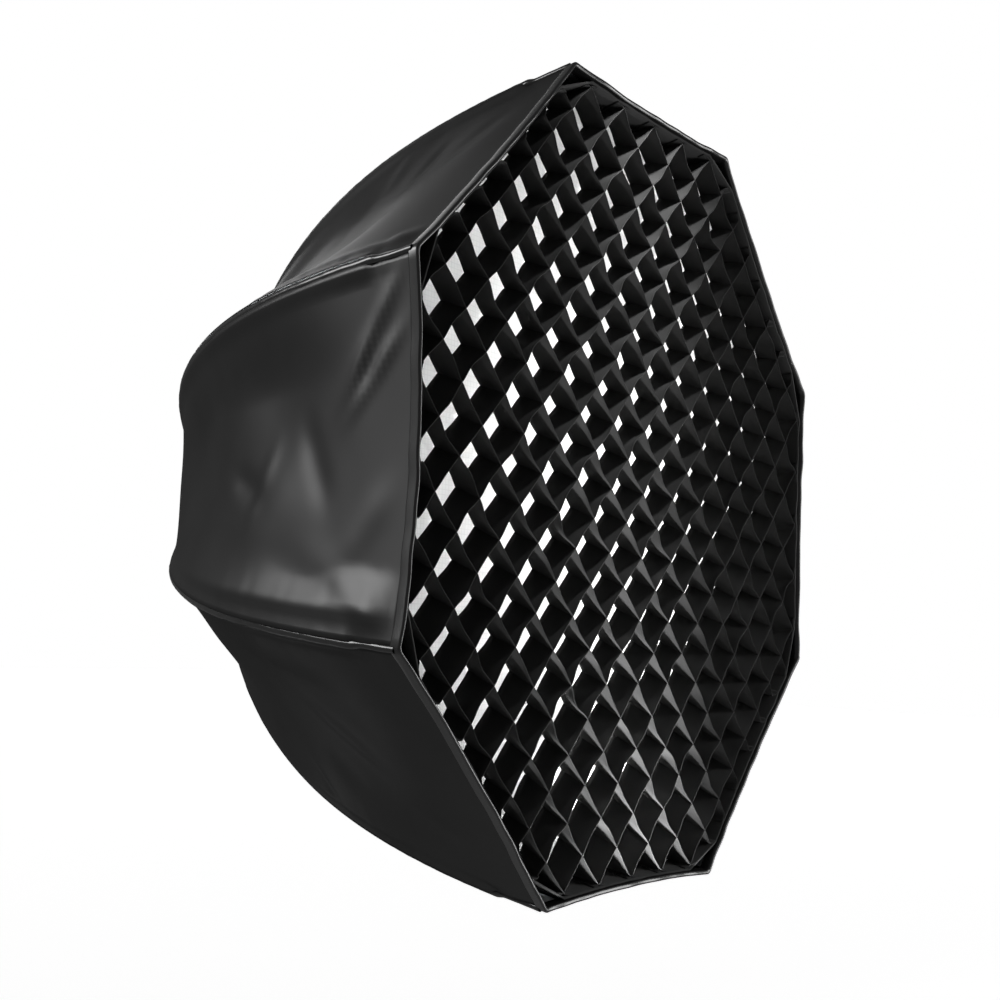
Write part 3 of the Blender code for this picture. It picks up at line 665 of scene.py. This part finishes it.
def sewn_relief(net, side, sizes):
    """Billow, gathers beside the seams and the hem, and folds that fan out from the front corners."""
    held = smooth(net.from_seam, 0, HELD_AT_SEAM) * smooth(net.from_hem, 0, HELD_AT_SEAM)
    held = held * smooth(net.down, PANEL_START, PANEL_START + HELD_AT_REAR)
    lift = sizes.billow * held * ripple(net.across, net.down, 10 + side, *BILLOW_WAVES)
    gathers = ripple(net.across * 0, net.down + np.sign(net.v), 30 + side, *SEAM_GATHERS)
    lift += sizes.pucker * hump(net.from_seam, GATHERED_AT_SEAM) * gathers * smooth(net.share, 0.5, 0.7)
    gathers = ripple(net.across, net.down * 0, 50 + side, *HEM_GATHERS)
    lift += sizes.pucker * hump(net.from_hem, GATHERED_AT_HEM) * gathers
    for end in (-1, 1):
        beside = np.abs(end * net.half[:, None] - net.across)
        turn = np.arctan2(beside, net.from_hem)
        fan = np.sin(turn * 9 + side * 1.7 + end) + 0.6 * np.sin(turn * 17 + side * 2.9 - end)
        strength = hump(np.hypot(beside, net.from_hem), FAN_REACH)
        strength = strength * np.sin(np.clip(turn, 0, math.pi / 2) * 2)
        lift += sizes.corner_fold * 0.5 * fan * strength
    return lift


def hang(net, side, sizes):
    """Upright cloth hollows under its upper seam and bellies out just above its lower one."""
    turn = side * 2 * HALF_SIDE
    fallen = (1 - net.v * math.copysign(1, math.cos(turn))) / 2
    belly = np.clip((fallen - BELLY_START) / (BELLY_END - BELLY_START), 0, 1) ** BELLY_POWER
    upright = BELLY_SIZE * belly - smooth(fallen, 0, HOLLOW_END) - TUCK_SIZE * smooth(fallen, TUCK_START)
    drop = abs(math.cos(turn)) * upright - math.sin(turn) * 0.5 * net.crown
    return sizes.gravity * smooth(net.share, 0.25, 0.65) * drop


def panel_lift(net, side, sizes):
    """How far each point of a panel stands outside the plain cloth between its rods."""
    lift = sewn_relief(net, side, sizes) + hang(net, side, sizes)
    over_rod = smooth(net.share, 0.02, 0.12) * (1 - 0.9 * past_tip(net.distances + 0.008))[:, None]
    lift += sizes.seam_roll * np.exp(-((net.from_seam / ROLL_WIDTH) ** 2)) * over_rod
    # The cloth is sewn to the hem and lies on the loop tape behind it, so it can't dip there
    dips = lift * smooth(net.from_hem, TAPE_REACH, TAPE_REACH + TAPE_FADE)
    rises = lift * smooth(net.from_hem / TAPE_REACH + 0.2)
    lift = np.where(lift < 0, dips, rises)
    for start, end, width, height in creases(side):
        lift += height * crease(net.across, net.down, start, end, width)
    return lift


class SOFTBOX_OT_shell(bpy.types.Operator):
    """Sews the eight cloth panels between the rods"""

    bl_idname = "softbox.shell"
    bl_label = "Shell panels"

    def execute(self, context):
        sizes = context.scene.softbox_sizes
        net = panel_net()
        ridge = ridge_at(net.distances)
        out = outward_at(net.distances)
        sag = PANEL_SAG * np.sin(math.pi * net.share) ** 2
        for side in range(SIDES):
            lift = panel_lift(net, side, sizes)
            bow = sizes.edge_slack[side] * slack_at(ridge[:, 1])[:, None]
            out_x = ridge[:, :1] * COSINE - (sag + bow) * net.crown + lift * out[:, :1]
            out_y = ridge[:, 1:] + lift * out[:, 1:]
            points = turned(np.stack((out_x, out_y, net.across), -1), side * 2 * HALF_SIDE)
            cloth = add_piece(
                "sewn",
                f"shell_panel_{side + 1}",
                [surface(points, net.across, net.down)],
                [coated_nylon, silver_lining],
                thickness=sizes.cloth,
                outward=False,
            )
        return {"FINISHED"}


# Seams and pockets over the rods

CORD_POINTS = 14
CORD_ROWS = 218
CORD_PINCH = 0.004
CORD_LAP = 0.005
CORD_SINK = 0.0012
CORD_THINNING = 0.22
CORD_WANDER = 0.0003
CORD_UNEVEN = 0.02
CORD_SPREAD = 1.05
POCKET_POINTS = 24
POCKET_ROWS = 18
POCKET_MOUTH = 0.6755
POCKET_END = 0.7145
POCKET_HALF_WIDTH = 0.0104
POCKET_HALF_DEPTH = 0.0056
POCKET_SINK = 0.0030
POCKET_FLARE = 0.06
POCKET_LIP = 0.0095
POCKET_CLOSING = 0.006
POCKET_CLOTH = 0.0012


def circle_turns(count):
    """Angles of this many points round a circle."""
    return np.linspace(0, 2 * math.pi, count + 1)[:-1]


def sleeve(index, centre, out, rise, spread):
    """Points round a rod's line, this far outwards and sideways from it."""
    local = np.stack((centre[:, :1] + rise * out[:, :1], centre[:, 1:] + rise * out[:, 1:], spread), -1)
    return turned(local, index * 2 * HALF_SIDE + HALF_SIDE)


def squarish(waves):
    """Sines or cosines of a circle, spread towards a square."""
    return np.abs(waves) ** 0.8 * np.sign(waves)


class SOFTBOX_OT_seams(bpy.types.Operator):
    """Runs a corded seam over each rod, thinner past the rod's tip"""

    bl_idname = "softbox.seams"
    bl_label = "Corded seams"

    def execute(self, context):
        sizes = context.scene.softbox_sizes
        around = circle_turns(CORD_POINTS)
        # Close rows round off the cord's rear end, which is pinched shut under the cuff
        tip = PIPING_START + np.array((0.0, 0.0003, 0.0010, 0.0022))
        rest = np.linspace(PIPING_START + CORD_PINCH, LINE_LENGTH + CORD_LAP, CORD_ROWS)
        distances = np.concatenate((tip, rest))
        pinch = np.sqrt(1 - (1 - np.clip((distances - PIPING_START) / CORD_PINCH, 0, 1)) ** 2)
        out = outward_at(distances)
        thin = past_tip(distances)
        centre = ridge_at(distances) - out * (CORD_SINK * thin)[:, None]
        turn = np.append(around, 2 * math.pi) * sizes.piping
        for index in range(SIDES):
            wander = CORD_WANDER * ripple(distances, 0 * distances, 70 + index, 0.03, 0.2)
            uneven = 1 + CORD_UNEVEN * ripple(distances, 0 * distances, 90 + index, 0.012, 0.05)
            radius = (sizes.piping * (1 - CORD_THINNING * thin) * pinch * uneven)[:, None]
            spread = radius * np.sin(around) * CORD_SPREAD + wander[:, None]
            points = sleeve(index, centre, out, radius * np.cos(around), spread)
            cord = surface(points, turn, distances, wrap_cols=True)
            add_piece("corded", f"seam_piping_{index + 1}", [cord], [satin_binding])
        return {"FINISHED"}


class SOFTBOX_OT_pockets(bpy.types.Operator):
    """Folds a webbing pocket over each rod's front end"""

    bl_idname = "softbox.pockets"
    bl_label = "Corner pockets"

    def execute(self, context):
        around = circle_turns(POCKET_POINTS)
        distances = np.linspace(POCKET_MOUTH, POCKET_END, POCKET_ROWS)
        centre = rod_at(distances)
        out = outward_at(distances)
        close = smooth(distances, POCKET_END, POCKET_END - POCKET_CLOSING) * 0.75 + 0.25
        open_lip = 1 + POCKET_FLARE * smooth(distances, POCKET_MOUTH + POCKET_LIP, POCKET_MOUTH - 0.0005)
        wide = POCKET_HALF_WIDTH * open_lip * (0.35 + 0.65 * close)
        deep = POCKET_HALF_DEPTH * open_lip * close
        rise = deep[:, None] * squarish(np.cos(around)) - POCKET_SINK
        spread = wide[:, None] * squarish(np.sin(around))
        turn = np.append(around, 2 * math.pi) * 0.008
        for index in range(SIDES):
            points = sleeve(index, centre, out, rise, spread)
            pocket = surface(points, turn, distances, wrap_cols=True)
            name = f"corner_pocket_{index + 1}"
            add_piece("folded", name, [pocket], [woven_webbing], thickness=POCKET_CLOTH)
        return {"FINISHED"}


# Front rim


def lip_band(section, slack, **shake):
    """A tape that lies inside the front lip."""
    return band(section, lambda y, inset: lip_loop(y, inset, slack), **shake)


class SOFTBOX_OT_rim(bpy.types.Operator):
    """Binds the front rim with its hem and lines it with loop tape"""

    bl_idname = "softbox.rim"
    bl_label = "Front hem and loop tape"

    def execute(self, context):
        slack = list(context.scene.softbox_sizes.edge_slack)
        apothem = CORNER_RADIUS * COSINE
        lean = math.tan(LEAN_AT_FRONT)
        section = rounded(FRONT_Y + 0.013, FRONT_Y, outer=-0.0002, inner=0.0052, edge=0.0022, steps=5)
        hem = band(
            section,
            lambda y, inset: rim_loop(apothem - inset - (y - FRONT_Y) * lean, y, slack),
            shake=0.0005,
            seed=7,
        )
        add_piece("bound", "front_hem", [hem], [satin_binding])
        section = rounded(
            FRONT_Y + 0.0620, FRONT_Y + 0.0123, outer=0.0003, inner=0.0022, edge=0.0006, steps=2
        )
        tape = lip_band(section, slack)
        add_piece("sewn", "loop_tape", [tape], [woven_webbing])
        return {"FINISHED"}


# Honeycomb grid

GRID_ROWS = 8
STRIP_FRONT_Y = FRONT_Y + 0.005
STRIP_INSET = 0.0056
STRIP_STEP = 0.004
STRIP_DEPTHS = np.array((0.0, 0.0004, 0.0012, 0.0080, 0.0160, 0.0240, 0.0300))
STRIP_HALVES = np.array((0.20, 0.42, 0.50, 0.46, 0.44, 0.44, 0.40))
SHORTEST_STRIP = 0.03
SCALLOP = 0.0012
TAB_STEPS = np.linspace(0, 1, 8)[1:, None]
TAB_LENGTH = 0.006
TAB_LAP = 0.011
DROOP_REACH = 0.012

# Random places of each strip's crossings and bellies, by family, front or rear edge, row and cell
MIDDLE = 20
JITTER = np.random.default_rng(3).uniform(-1, 1, (2, 2, 2 * MIDDLE, 2 * MIDDLE))
BELLY = np.random.default_rng(4).normal(0, 1, (2, 2, 2 * MIDDLE, 2 * MIDDLE))
JITTER_SIZES = (0.0015, 0.0005)
BELLY_SHARES = (1, 0.6)


def strip_ends(loop, across, along, offset):
    """Where a strip's line meets its border, in order, as (distance along it, point, border's direction)."""
    off = loop @ across - offset
    ends = []
    for k in np.nonzero(off * np.roll(off, -1) < 0)[0]:
        nxt = (k + 1) % len(loop)
        step = loop[nxt] - loop[k]
        point = loop[k] + step * off[k] / (off[k] - off[nxt])
        ends.append((point @ along, point, step / np.linalg.norm(step)))
    ends.sort(key=lambda end: end[0])
    return ends


def strip_sway(family, row, run, deep, sizes):
    """How far aside a strip lies at this share of its depth, and its bellies between two crossings."""
    slide = run / sizes.cell
    base = np.floor(slide).astype(int)
    part = slide - base
    ease = smooth(part)
    belly = np.sin(math.pi * part) ** 2
    knot = base + MIDDLE
    shift = np.zeros(len(run))
    for level, weight in enumerate((1 - deep, deep)):
        knots = JITTER[family, level, row + MIDDLE] * JITTER_SIZES[level]
        swing = BELLY[family, level, row + MIDDLE] * sizes.sway * BELLY_SHARES[level]
        shift += weight * (knots[knot] * (1 - ease) + knots[knot + 1] * ease)
        shift += weight * swing[knot] * belly
    return shift, belly


def strip_tab(end, away):
    """A strip's end, bent along the border it is sewn to."""
    _, point, edge = end
    lay = edge if edge @ away >= 0 else -edge
    begin = point - away * TAB_LENGTH
    finish = point + lay * TAB_LAP
    return (1 - TAB_STEPS) ** 2 * begin + 2 * TAB_STEPS * (1 - TAB_STEPS) * point + TAB_STEPS**2 * finish


def grid_strip(family, row, sizes, slack):
    """One strip of the grid, bent along the border at its ends, as a closed thin surface."""
    across = np.array((1, 1) if family == 0 else (-1, 1)) / math.sqrt(2)
    along = np.array((-across[1], across[0]))
    offset = row * sizes.cell
    paths = []
    count = None
    for depth in STRIP_DEPTHS:
        ends = strip_ends(lip_loop(STRIP_FRONT_Y + depth, STRIP_INSET, slack), across, along, offset)
        if len(ends) < 2 or ends[-1][0] - ends[0][0] < SHORTEST_STRIP:
            return None
        first, last = ends[0], ends[-1]
        count = count or max(8, int((last[0] - first[0]) / STRIP_STEP))
        run = np.linspace(first[0] + TAB_LENGTH, last[0] - TAB_LENGTH, count)
        deep = depth / STRIP_DEPTHS[-1]
        shift, belly = strip_sway(family, row, run, deep, sizes)
        inward = np.minimum(run - run[0], run[-1] - run)
        height = across[1] * offset + along[1] * run
        shift += sizes.droop * (1 - height) * across[1] * deep * (1 - np.exp(-inward / DROOP_REACH))
        middle = across * (offset + shift)[:, None] + along * run[:, None]
        path = np.vstack((strip_tab(first, -along)[::-1], middle, strip_tab(last, along)))
        scallop = SCALLOP * np.pad(belly, len(TAB_STEPS)) * (1 - deep)
        paths.append((path, STRIP_FRONT_Y + depth + scallop))
    sides = []
    for sign in (1, -1):
        for (path, y), half in zip(paths, STRIP_HALVES * sizes.strip):
            step = np.gradient(path, axis=0)
            normal = np.stack((-step[:, 1], step[:, 0]), -1)
            normal /= np.linalg.norm(normal, axis=1)[:, None]
            flat = path + sign * half * normal
            sides.append(np.stack((flat[:, 0], y, flat[:, 1]), -1))
    layers = len(STRIP_DEPTHS)
    points = np.stack(sides[:layers] + sides[layers:][::-1])
    steps = np.linalg.norm(np.diff(paths[0][0], axis=0), axis=1)
    length = np.concatenate(((0,), np.cumsum(steps)))
    depths = np.concatenate((STRIP_DEPTHS, STRIP_DEPTHS[::-1], (0,)))
    return surface(points, length, depths, wrap_rows=True, capped=True)


class SOFTBOX_OT_grid(bpy.types.Operator):
    """Weaves the honeycomb grid's strips inside their border"""

    bl_idname = "softbox.grid"
    bl_label = "Honeycomb grid"

    def execute(self, context):
        sizes = context.scene.softbox_sizes
        slack = list(sizes.edge_slack)
        section = rounded(FRONT_Y + 0.036, FRONT_Y + 0.004, outer=0.0026, inner=0.0051, edge=0.0010, steps=3)
        border = lip_band(section, slack, shake=0.0004, seed=8)
        add_piece("sewn", "grid_border", [border], [grid_cloth], "grid")
        strips = []
        for family in (0, 1):
            for row in range(-GRID_ROWS, GRID_ROWS + 1):
                strip = grid_strip(family, row, sizes, slack)
                if strip is not None:
                    strips.append(strip)
        add_piece("sewn", "honeycomb_grid", strips, [grid_cloth], "grid")
        return {"FINISHED"}


# Diffusers

DIFFUSER_Y = FRONT_Y + 0.0364
DIFFUSER_EDGE_Y = -0.5865
DIFFUSER_INSET = 0.0027
DIFFUSER_RINGS = 44
DIFFUSER_SAG = 0.0011
DIFFUSER_CLOTH = 0.0004
BAFFLE_Y = FRONT_Y + 0.26
BAFFLE_RADIUS = 0.258
BAFFLE_DRAWN_IN = 0.018
BAFFLE_RINGS = 30
BAFFLE_SAG = 0.0018
BAFFLE_ROLL_START = 0.993
BAFFLE_ROLL_SHARE = 0.008
BAFFLE_ROLL_DEPTH = 0.0016
BAFFLE_ROLL_GIRTH = 0.012
STRAPS = 4
STRAP_HALF = 0.0098
STRAP_ROWS = 40
STRAP_COLS = 9
STRAP_RISE = 0.0006
STRAP_WAVER = 0.0003
STRAP_LAP = 0.006
STRAP_SAG = 0.0012
STRAP_CLOTH = 0.0014


def solid_points(name):
    """Corners of a CAD solid."""
    return np.array([v.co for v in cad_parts[name].data.vertices])


def stretch_diffuser(slack):
    """The front diffuser, stretched inside its border."""
    loop = lip_loop(DIFFUSER_EDGE_Y, DIFFUSER_INSET, slack, 24)
    part = disc(loop, DIFFUSER_Y, DIFFUSER_RINGS)
    x, z = part["points"][:, 0], part["points"][:, 2]
    inside = smooth(np.hypot(x, z), 0.42, 0.32)
    part["points"][:, 1] += DIFFUSER_SAG * inside * (1 + ripple(x, z, 21, 0.06, 0.25)).clip(0, 2.5)
    sheet = add_piece(
        "stretched",
        "front_diffuser",
        [part],
        [white_nylon],
        "diffuser",
        thickness=DIFFUSER_CLOTH,
        outward=False,
    )
    section = rounded(FRONT_Y + 0.0558, FRONT_Y + 0.0378, outer=0.0026, inner=0.0051, edge=0.0008, steps=3)
    border = lip_band(section, slack)
    add_piece("sewn", "diffuser_border", [border], [woven_webbing], "diffuser")


def baffle_rim():
    """Points (x, z) round the inner baffle, an octagon whose sides are drawn in a little."""
    turns = HALF_SIDE + 2 * HALF_SIDE * np.arange(SIDES)
    corners = BAFFLE_RADIUS * np.stack((np.cos(turns), np.sin(turns)), -1)
    steps = np.linspace(0, 1, 25)[:-1, None]
    edges = []
    for k in range(SIDES):
        line = corners[k] * (1 - steps) + corners[(k + 1) % SIDES] * steps
        edges.append(line * (1 - BAFFLE_DRAWN_IN * np.sin(math.pi * steps)))
    return np.concatenate(edges)


def hang_baffle():
    """The inner baffle with its turned hem."""
    rim = baffle_rim()
    part = disc(rim, BAFFLE_Y, BAFFLE_RINGS)
    x, z = part["points"][:, 0], part["points"][:, 2]
    part["points"][:, 1] += BAFFLE_SAG * ripple(x, z, 22, 0.07, 0.3)
    hem = []
    for turn in circle_turns(10):
        share = BAFFLE_ROLL_START + BAFFLE_ROLL_SHARE * math.cos(turn)
        hem.append(with_y(rim * share, BAFFLE_Y + BAFFLE_ROLL_DEPTH * math.sin(turn)))
    run = run_of(rim)
    around = np.linspace(0, BAFFLE_ROLL_GIRTH, len(hem) + 1)
    roll = surface(np.stack(hem), run, around, wrap_rows=True, wrap_cols=True)
    baffle = add_piece(
        "hung",
        "inner_baffle",
        [part, roll],
        [white_nylon],
        thickness=DIFFUSER_CLOTH,
        outward=False,
    )


def sew_strap(k):
    """One of the straps that hold the baffle to the shell's seams."""
    name = f"baffle_strap_{k + 1}"
    angle = HALF_SIDE + k * math.pi / 2
    solid = solid_points(name)
    radial = solid[:, 0] * math.cos(angle) + solid[:, 2] * math.sin(angle)
    out = np.linspace(radial.min() - STRAP_LAP, radial.max(), STRAP_ROWS)
    side = np.linspace(-STRAP_HALF, STRAP_HALF, STRAP_COLS)
    sag = STRAP_SAG * np.sin(np.linspace(0, math.pi, STRAP_ROWS))
    sag += STRAP_WAVER * ripple(out, out * 0, 5 + k, 0.02, 0.1)
    level = solid[:, 1].mean() + STRAP_RISE + sag
    local = np.stack(np.broadcast_arrays(out[:, None], level[:, None], side), -1)
    cloth = surface(turned(local, angle), side, out)
    add_piece("sewn", name, [cloth], [woven_webbing], thickness=STRAP_CLOTH, outward=False)


class SOFTBOX_OT_diffusers(bpy.types.Operator):
    """Stretches the white front diffuser and hangs the inner baffle on its straps"""

    bl_idname = "softbox.diffusers"
    bl_label = "Diffuser and inner baffle"

    def execute(self, context):
        stretch_diffuser(list(context.scene.softbox_sizes.edge_slack))
        hang_baffle()
        for k in range(STRAPS):
            sew_strap(k)
        return {"FINISHED"}


# Rear cuff and hardware

CUFF_POINTS = 240
CUFF_GATHERS = 60
CUFF_GATHER = 0.00025
CUFF_WAVER = 0.0002
CUFF_GIRTH = 0.034
EDGE_BREAK = 0.0004
SHARP_ANGLE = math.radians(40)


class SOFTBOX_OT_cuff(bpy.types.Operator):
    """Gathers the webbing cuff that holds the cloth to the speed ring"""

    bl_idname = "softbox.cuff"
    bl_label = "Rear cuff"

    def execute(self, context):
        low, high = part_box("rear_cuff")
        solid = solid_points("rear_cuff")
        radius = np.hypot(solid[:, 0], solid[:, 2])
        inner, outer = radius.min(), radius.max()
        turns = circle_turns(CUFF_POINTS)
        circle = np.stack((np.cos(turns), np.sin(turns)), -1)
        section = rounded(high.y, low.y, outer=0.0, inner=outer - inner, edge=0.0011)
        points = np.stack([with_y(circle * (outer - inset), y) for y, inset in section])
        points[..., 1] += CUFF_GATHER * np.sin(turns * CUFF_GATHERS)
        points[..., 1] += CUFF_WAVER * ripple(turns, 0 * turns, 33, 0.05, 0.3)
        run = np.append(turns, 2 * math.pi) * outer
        around = np.linspace(0, CUFF_GIRTH, len(section) + 1)
        cloth = surface(points, run, around, wrap_rows=True, wrap_cols=True)
        add_piece("gathered", "rear_cuff", [cloth], [woven_webbing])
        return {"FINISHED"}


def hardware_finish(name):
    """The finish of a hard piece, by its name."""
    if name == "lock_knob":
        return moulded_abs
    if name.startswith(("rod_socket", "mount_ring", "retaining_ring", "speed_ring")):
        return cast_aluminium
    return spring_steel


class SOFTBOX_OT_hardware(bpy.types.Operator):
    """Finishes the rings, rods, sockets, screws and knob, and breaks their edges"""

    bl_idname = "softbox.hardware"
    bl_label = "Rings, rods and lock"

    def execute(self, context):
        for name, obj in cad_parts.items():
            if obj.hide_render:
                continue
            made = finish_of(hardware_finish(name))
            for slot in obj.material_slots:
                slot.material = made
            # Rods are drawn round, with no edges to break
            if not name.startswith("rod_") or name.startswith("rod_socket"):
                bevel = obj.modifiers.new("Broken edges", "BEVEL")
                bevel.width = EDGE_BREAK
                bevel.segments = 2
                bevel.limit_method = "ANGLE"
                bevel.angle_limit = SHARP_ANGLE
        return {"FINISHED"}


# Stage

CAMERA_PLACE = (-1.4973, -1.4458, -0.1618)
CAMERA_RIGHT = (0.5606, -0.8272, 0.0382)
CAMERA_UP = (-0.0935, -0.0174, 0.9955)
CAMERA_FORWARD = (0.8228, 0.5616, 0.0871)
CAMERA_LENS = 54.83
FLOOR_REACH = 30
FLOOR_GLOW = 0.90
WORLD_FILL = 0.05

# Lights that fall on these pieces alone, flagged off the shell, which they would burn out
LIT_PIECES = {
    "lit_grid": ("sewn_honeycomb_grid", "sewn_grid_border", "stretched_front_diffuser"),
    "lit_hem": ("bound_front_hem",),
}

# Name, place, target, width, height, watts, spread in degrees, and the pieces it is kept to
LIGHTS = (
    ("back_light", (-1.67, 1.245, 1.02), (-0.4, -0.5, -0.03), 1.5, 1.0, 56, 90, ""),
    ("side_light", (1.67, 1.245, 1.02), (0.4, -0.5, -0.03), 1.5, 1.0, 40, 90, ""),
    ("top_light", (0.9, 0.9, 1.3), (-0.3, -0.4, 0.3), 1.0, 0.8, 18, 180, ""),
    ("kick_light", (0.35, 1.2, -1.2), (-0.25, -0.5, -0.35), 0.4, 0.3, 0.3, 90, ""),
    ("high_light", (0.1, -0.85, 0.88), (0.02, -0.62, 0.48), 0.1, 0.1, 1.6, 40, "lit_grid"),
    ("low_light", (0.1, -0.85, -0.85), (0.02, -0.62, -0.45), 0.1, 0.1, 5, 40, "lit_grid"),
    ("edge_light", (0.75, -1.65, 0.0), (0.0, -0.62, 0.0), 0.3, 0.3, 3.5, 60, "lit_grid"),
    ("lip_light", (1.1, -1.35, 0.0), (0.0, -0.62, 0.0), 0.3, 1.5, 14, 90, "lit_hem"),
    ("baffle_glow", (0.0, -0.4, 0.0), (0.0, -1.0, 0.0), 0.5, 0.5, 3.6, 180, ""),
)


def seen_directly(tree):
    """1 for rays from the camera, from a reflection or through a clear body, and 0 for the rest."""
    rays = add_node(tree, "ShaderNodeLightPath").outputs
    seen = joined(tree, rays["Is Camera Ray"], rays["Is Glossy Ray"], "MAXIMUM")
    return joined(tree, seen, rays["Is Transmission Ray"], "MAXIMUM")


def build_world(scene):
    """A surround that looks white and lights the part only a little."""
    world = bpy.data.worlds.new("studio_white")
    world.use_nodes = True
    tree = world.node_tree
    tree.nodes.clear()
    seen = seen_directly(tree)
    fill = add_node(tree, "ShaderNodeBackground", {"Color": (1, 1, 1, 1), "Strength": WORLD_FILL})
    white = add_node(tree, "ShaderNodeBackground", {"Color": (1, 1, 1, 1), "Strength": 1.0})
    mix = add_node(tree, "ShaderNodeMixShader", {0: seen, 1: fill.outputs[0], 2: white.outputs[0]})
    add_node(tree, "ShaderNodeOutputWorld", {"Surface": mix.outputs[0]})
    scene.world = world


def build_floor(scene):
    """A wide pale floor that stays white to the camera and takes the object's shadow."""
    mesh = bpy.data.meshes.new("studio_floor")
    corners = ((-1, -1), (1, -1), (1, 1), (-1, 1))
    level = -scene.softbox_sizes.floor_drop
    mesh.from_pydata([(x * FLOOR_REACH, y * FLOOR_REACH, level) for x, y in corners], [], [(0, 1, 2, 3)])
    colour = scene.softbox_colours.floor
    paint, shader, tree = new_finish("matt_paint_pale", colour, 0.9, Emission_Color=(1, 1, 1, 1))
    glow = joined(tree, seen_directly(tree), FLOOR_GLOW, "MULTIPLY")
    tree.links.new(glow, shader.inputs["Emission Strength"])
    mesh.materials.append(paint)
    floor = bpy.data.objects.new("studio_floor", mesh)
    scene.collection.objects.link(floor)


def build_lights(scene):
    """Soft square lights round the part, some of them kept to a few pieces."""
    flagged = {}
    for lit, names in LIT_PIECES.items():
        flagged[lit] = bpy.data.collections.new(lit)
        for name in names:
            flagged[lit].objects.link(bpy.data.objects[name])
    for name, place, target, width, height, power, spread, lit in LIGHTS:
        lamp = bpy.data.lights.new(name, "AREA")
        lamp.shape = "RECTANGLE"
        lamp.size = width
        lamp.size_y = height
        lamp.energy = power
        lamp.spread = math.radians(spread)
        obj = bpy.data.objects.new(name, lamp)
        obj.location = place
        obj.visible_camera = False
        obj.rotation_euler = (Vector(target) - Vector(place)).to_track_quat("-Z", "Y").to_euler()
        scene.collection.objects.link(obj)
        if lit:
            obj.light_linking.receiver_collection = flagged[lit]


def build_camera(scene):
    """The camera that was fitted to the photograph's front corners."""
    lens = bpy.data.cameras.new("photo_camera")
    lens.sensor_width = 36
    lens.lens = CAMERA_LENS
    camera = bpy.data.objects.new("photo_camera", lens)
    turn = Matrix((CAMERA_RIGHT, CAMERA_UP, -Vector(CAMERA_FORWARD))).transposed()
    camera.matrix_world = Matrix.Translation(CAMERA_PLACE) @ turn.to_4x4()
    scene.collection.objects.link(camera)
    scene.camera = camera


class SOFTBOX_OT_stage(bpy.types.Operator):
    """Sets the pale floor, the soft studio lights and the camera"""

    bl_idname = "softbox.stage"
    bl_label = "Stage and camera"

    def execute(self, context):
        scene = context.scene
        scene.view_settings.view_transform = "Standard"
        build_world(scene)
        build_floor(scene)
        build_lights(scene)
        build_camera(scene)
        return {"FINISHED"}


class SOFTBOX_PT_panel(bpy.types.Panel):
    """Sizes, colours and steps of the softbox"""

    bl_idname = "SOFTBOX_PT_panel"
    bl_label = "Softbox"
    bl_space_type = "VIEW_3D"
    bl_region_type = "UI"
    bl_category = "Softbox"

    def draw(self, context):
        for group in (context.scene.softbox_sizes, context.scene.softbox_colours):
            box = self.layout.box()
            for key in group.__annotations__:
                box.prop(group, key)
        for step in OPERATORS:
            self.layout.operator(step.bl_idname)


OPERATORS = (
    SOFTBOX_OT_shell,
    SOFTBOX_OT_seams,
    SOFTBOX_OT_rim,
    SOFTBOX_OT_pockets,
    SOFTBOX_OT_grid,
    SOFTBOX_OT_diffusers,
    SOFTBOX_OT_cuff,
    SOFTBOX_OT_hardware,
    SOFTBOX_OT_stage,
)
CLASSES = (SoftboxSizes, SoftboxColours, *OPERATORS, SOFTBOX_PT_panel)


def register():
    for kind in CLASSES:
        bpy.utils.register_class(kind)
    bpy.types.Scene.softbox_sizes = PointerProperty(type=SoftboxSizes)
    bpy.types.Scene.softbox_colours = PointerProperty(type=SoftboxColours)


def unregister():
    del bpy.types.Scene.softbox_colours
    del bpy.types.Scene.softbox_sizes
    for kind in reversed(CLASSES):
        bpy.utils.unregister_class(kind)


def main():
    register()
    bpy.ops.softbox.shell()
    bpy.ops.softbox.seams()
    bpy.ops.softbox.rim()
    bpy.ops.softbox.pockets()
    bpy.ops.softbox.grid()
    bpy.ops.softbox.diffusers()
    bpy.ops.softbox.cuff()
    bpy.ops.softbox.hardware()
    bpy.ops.softbox.stage()


if __name__ == "__main__":
    main()
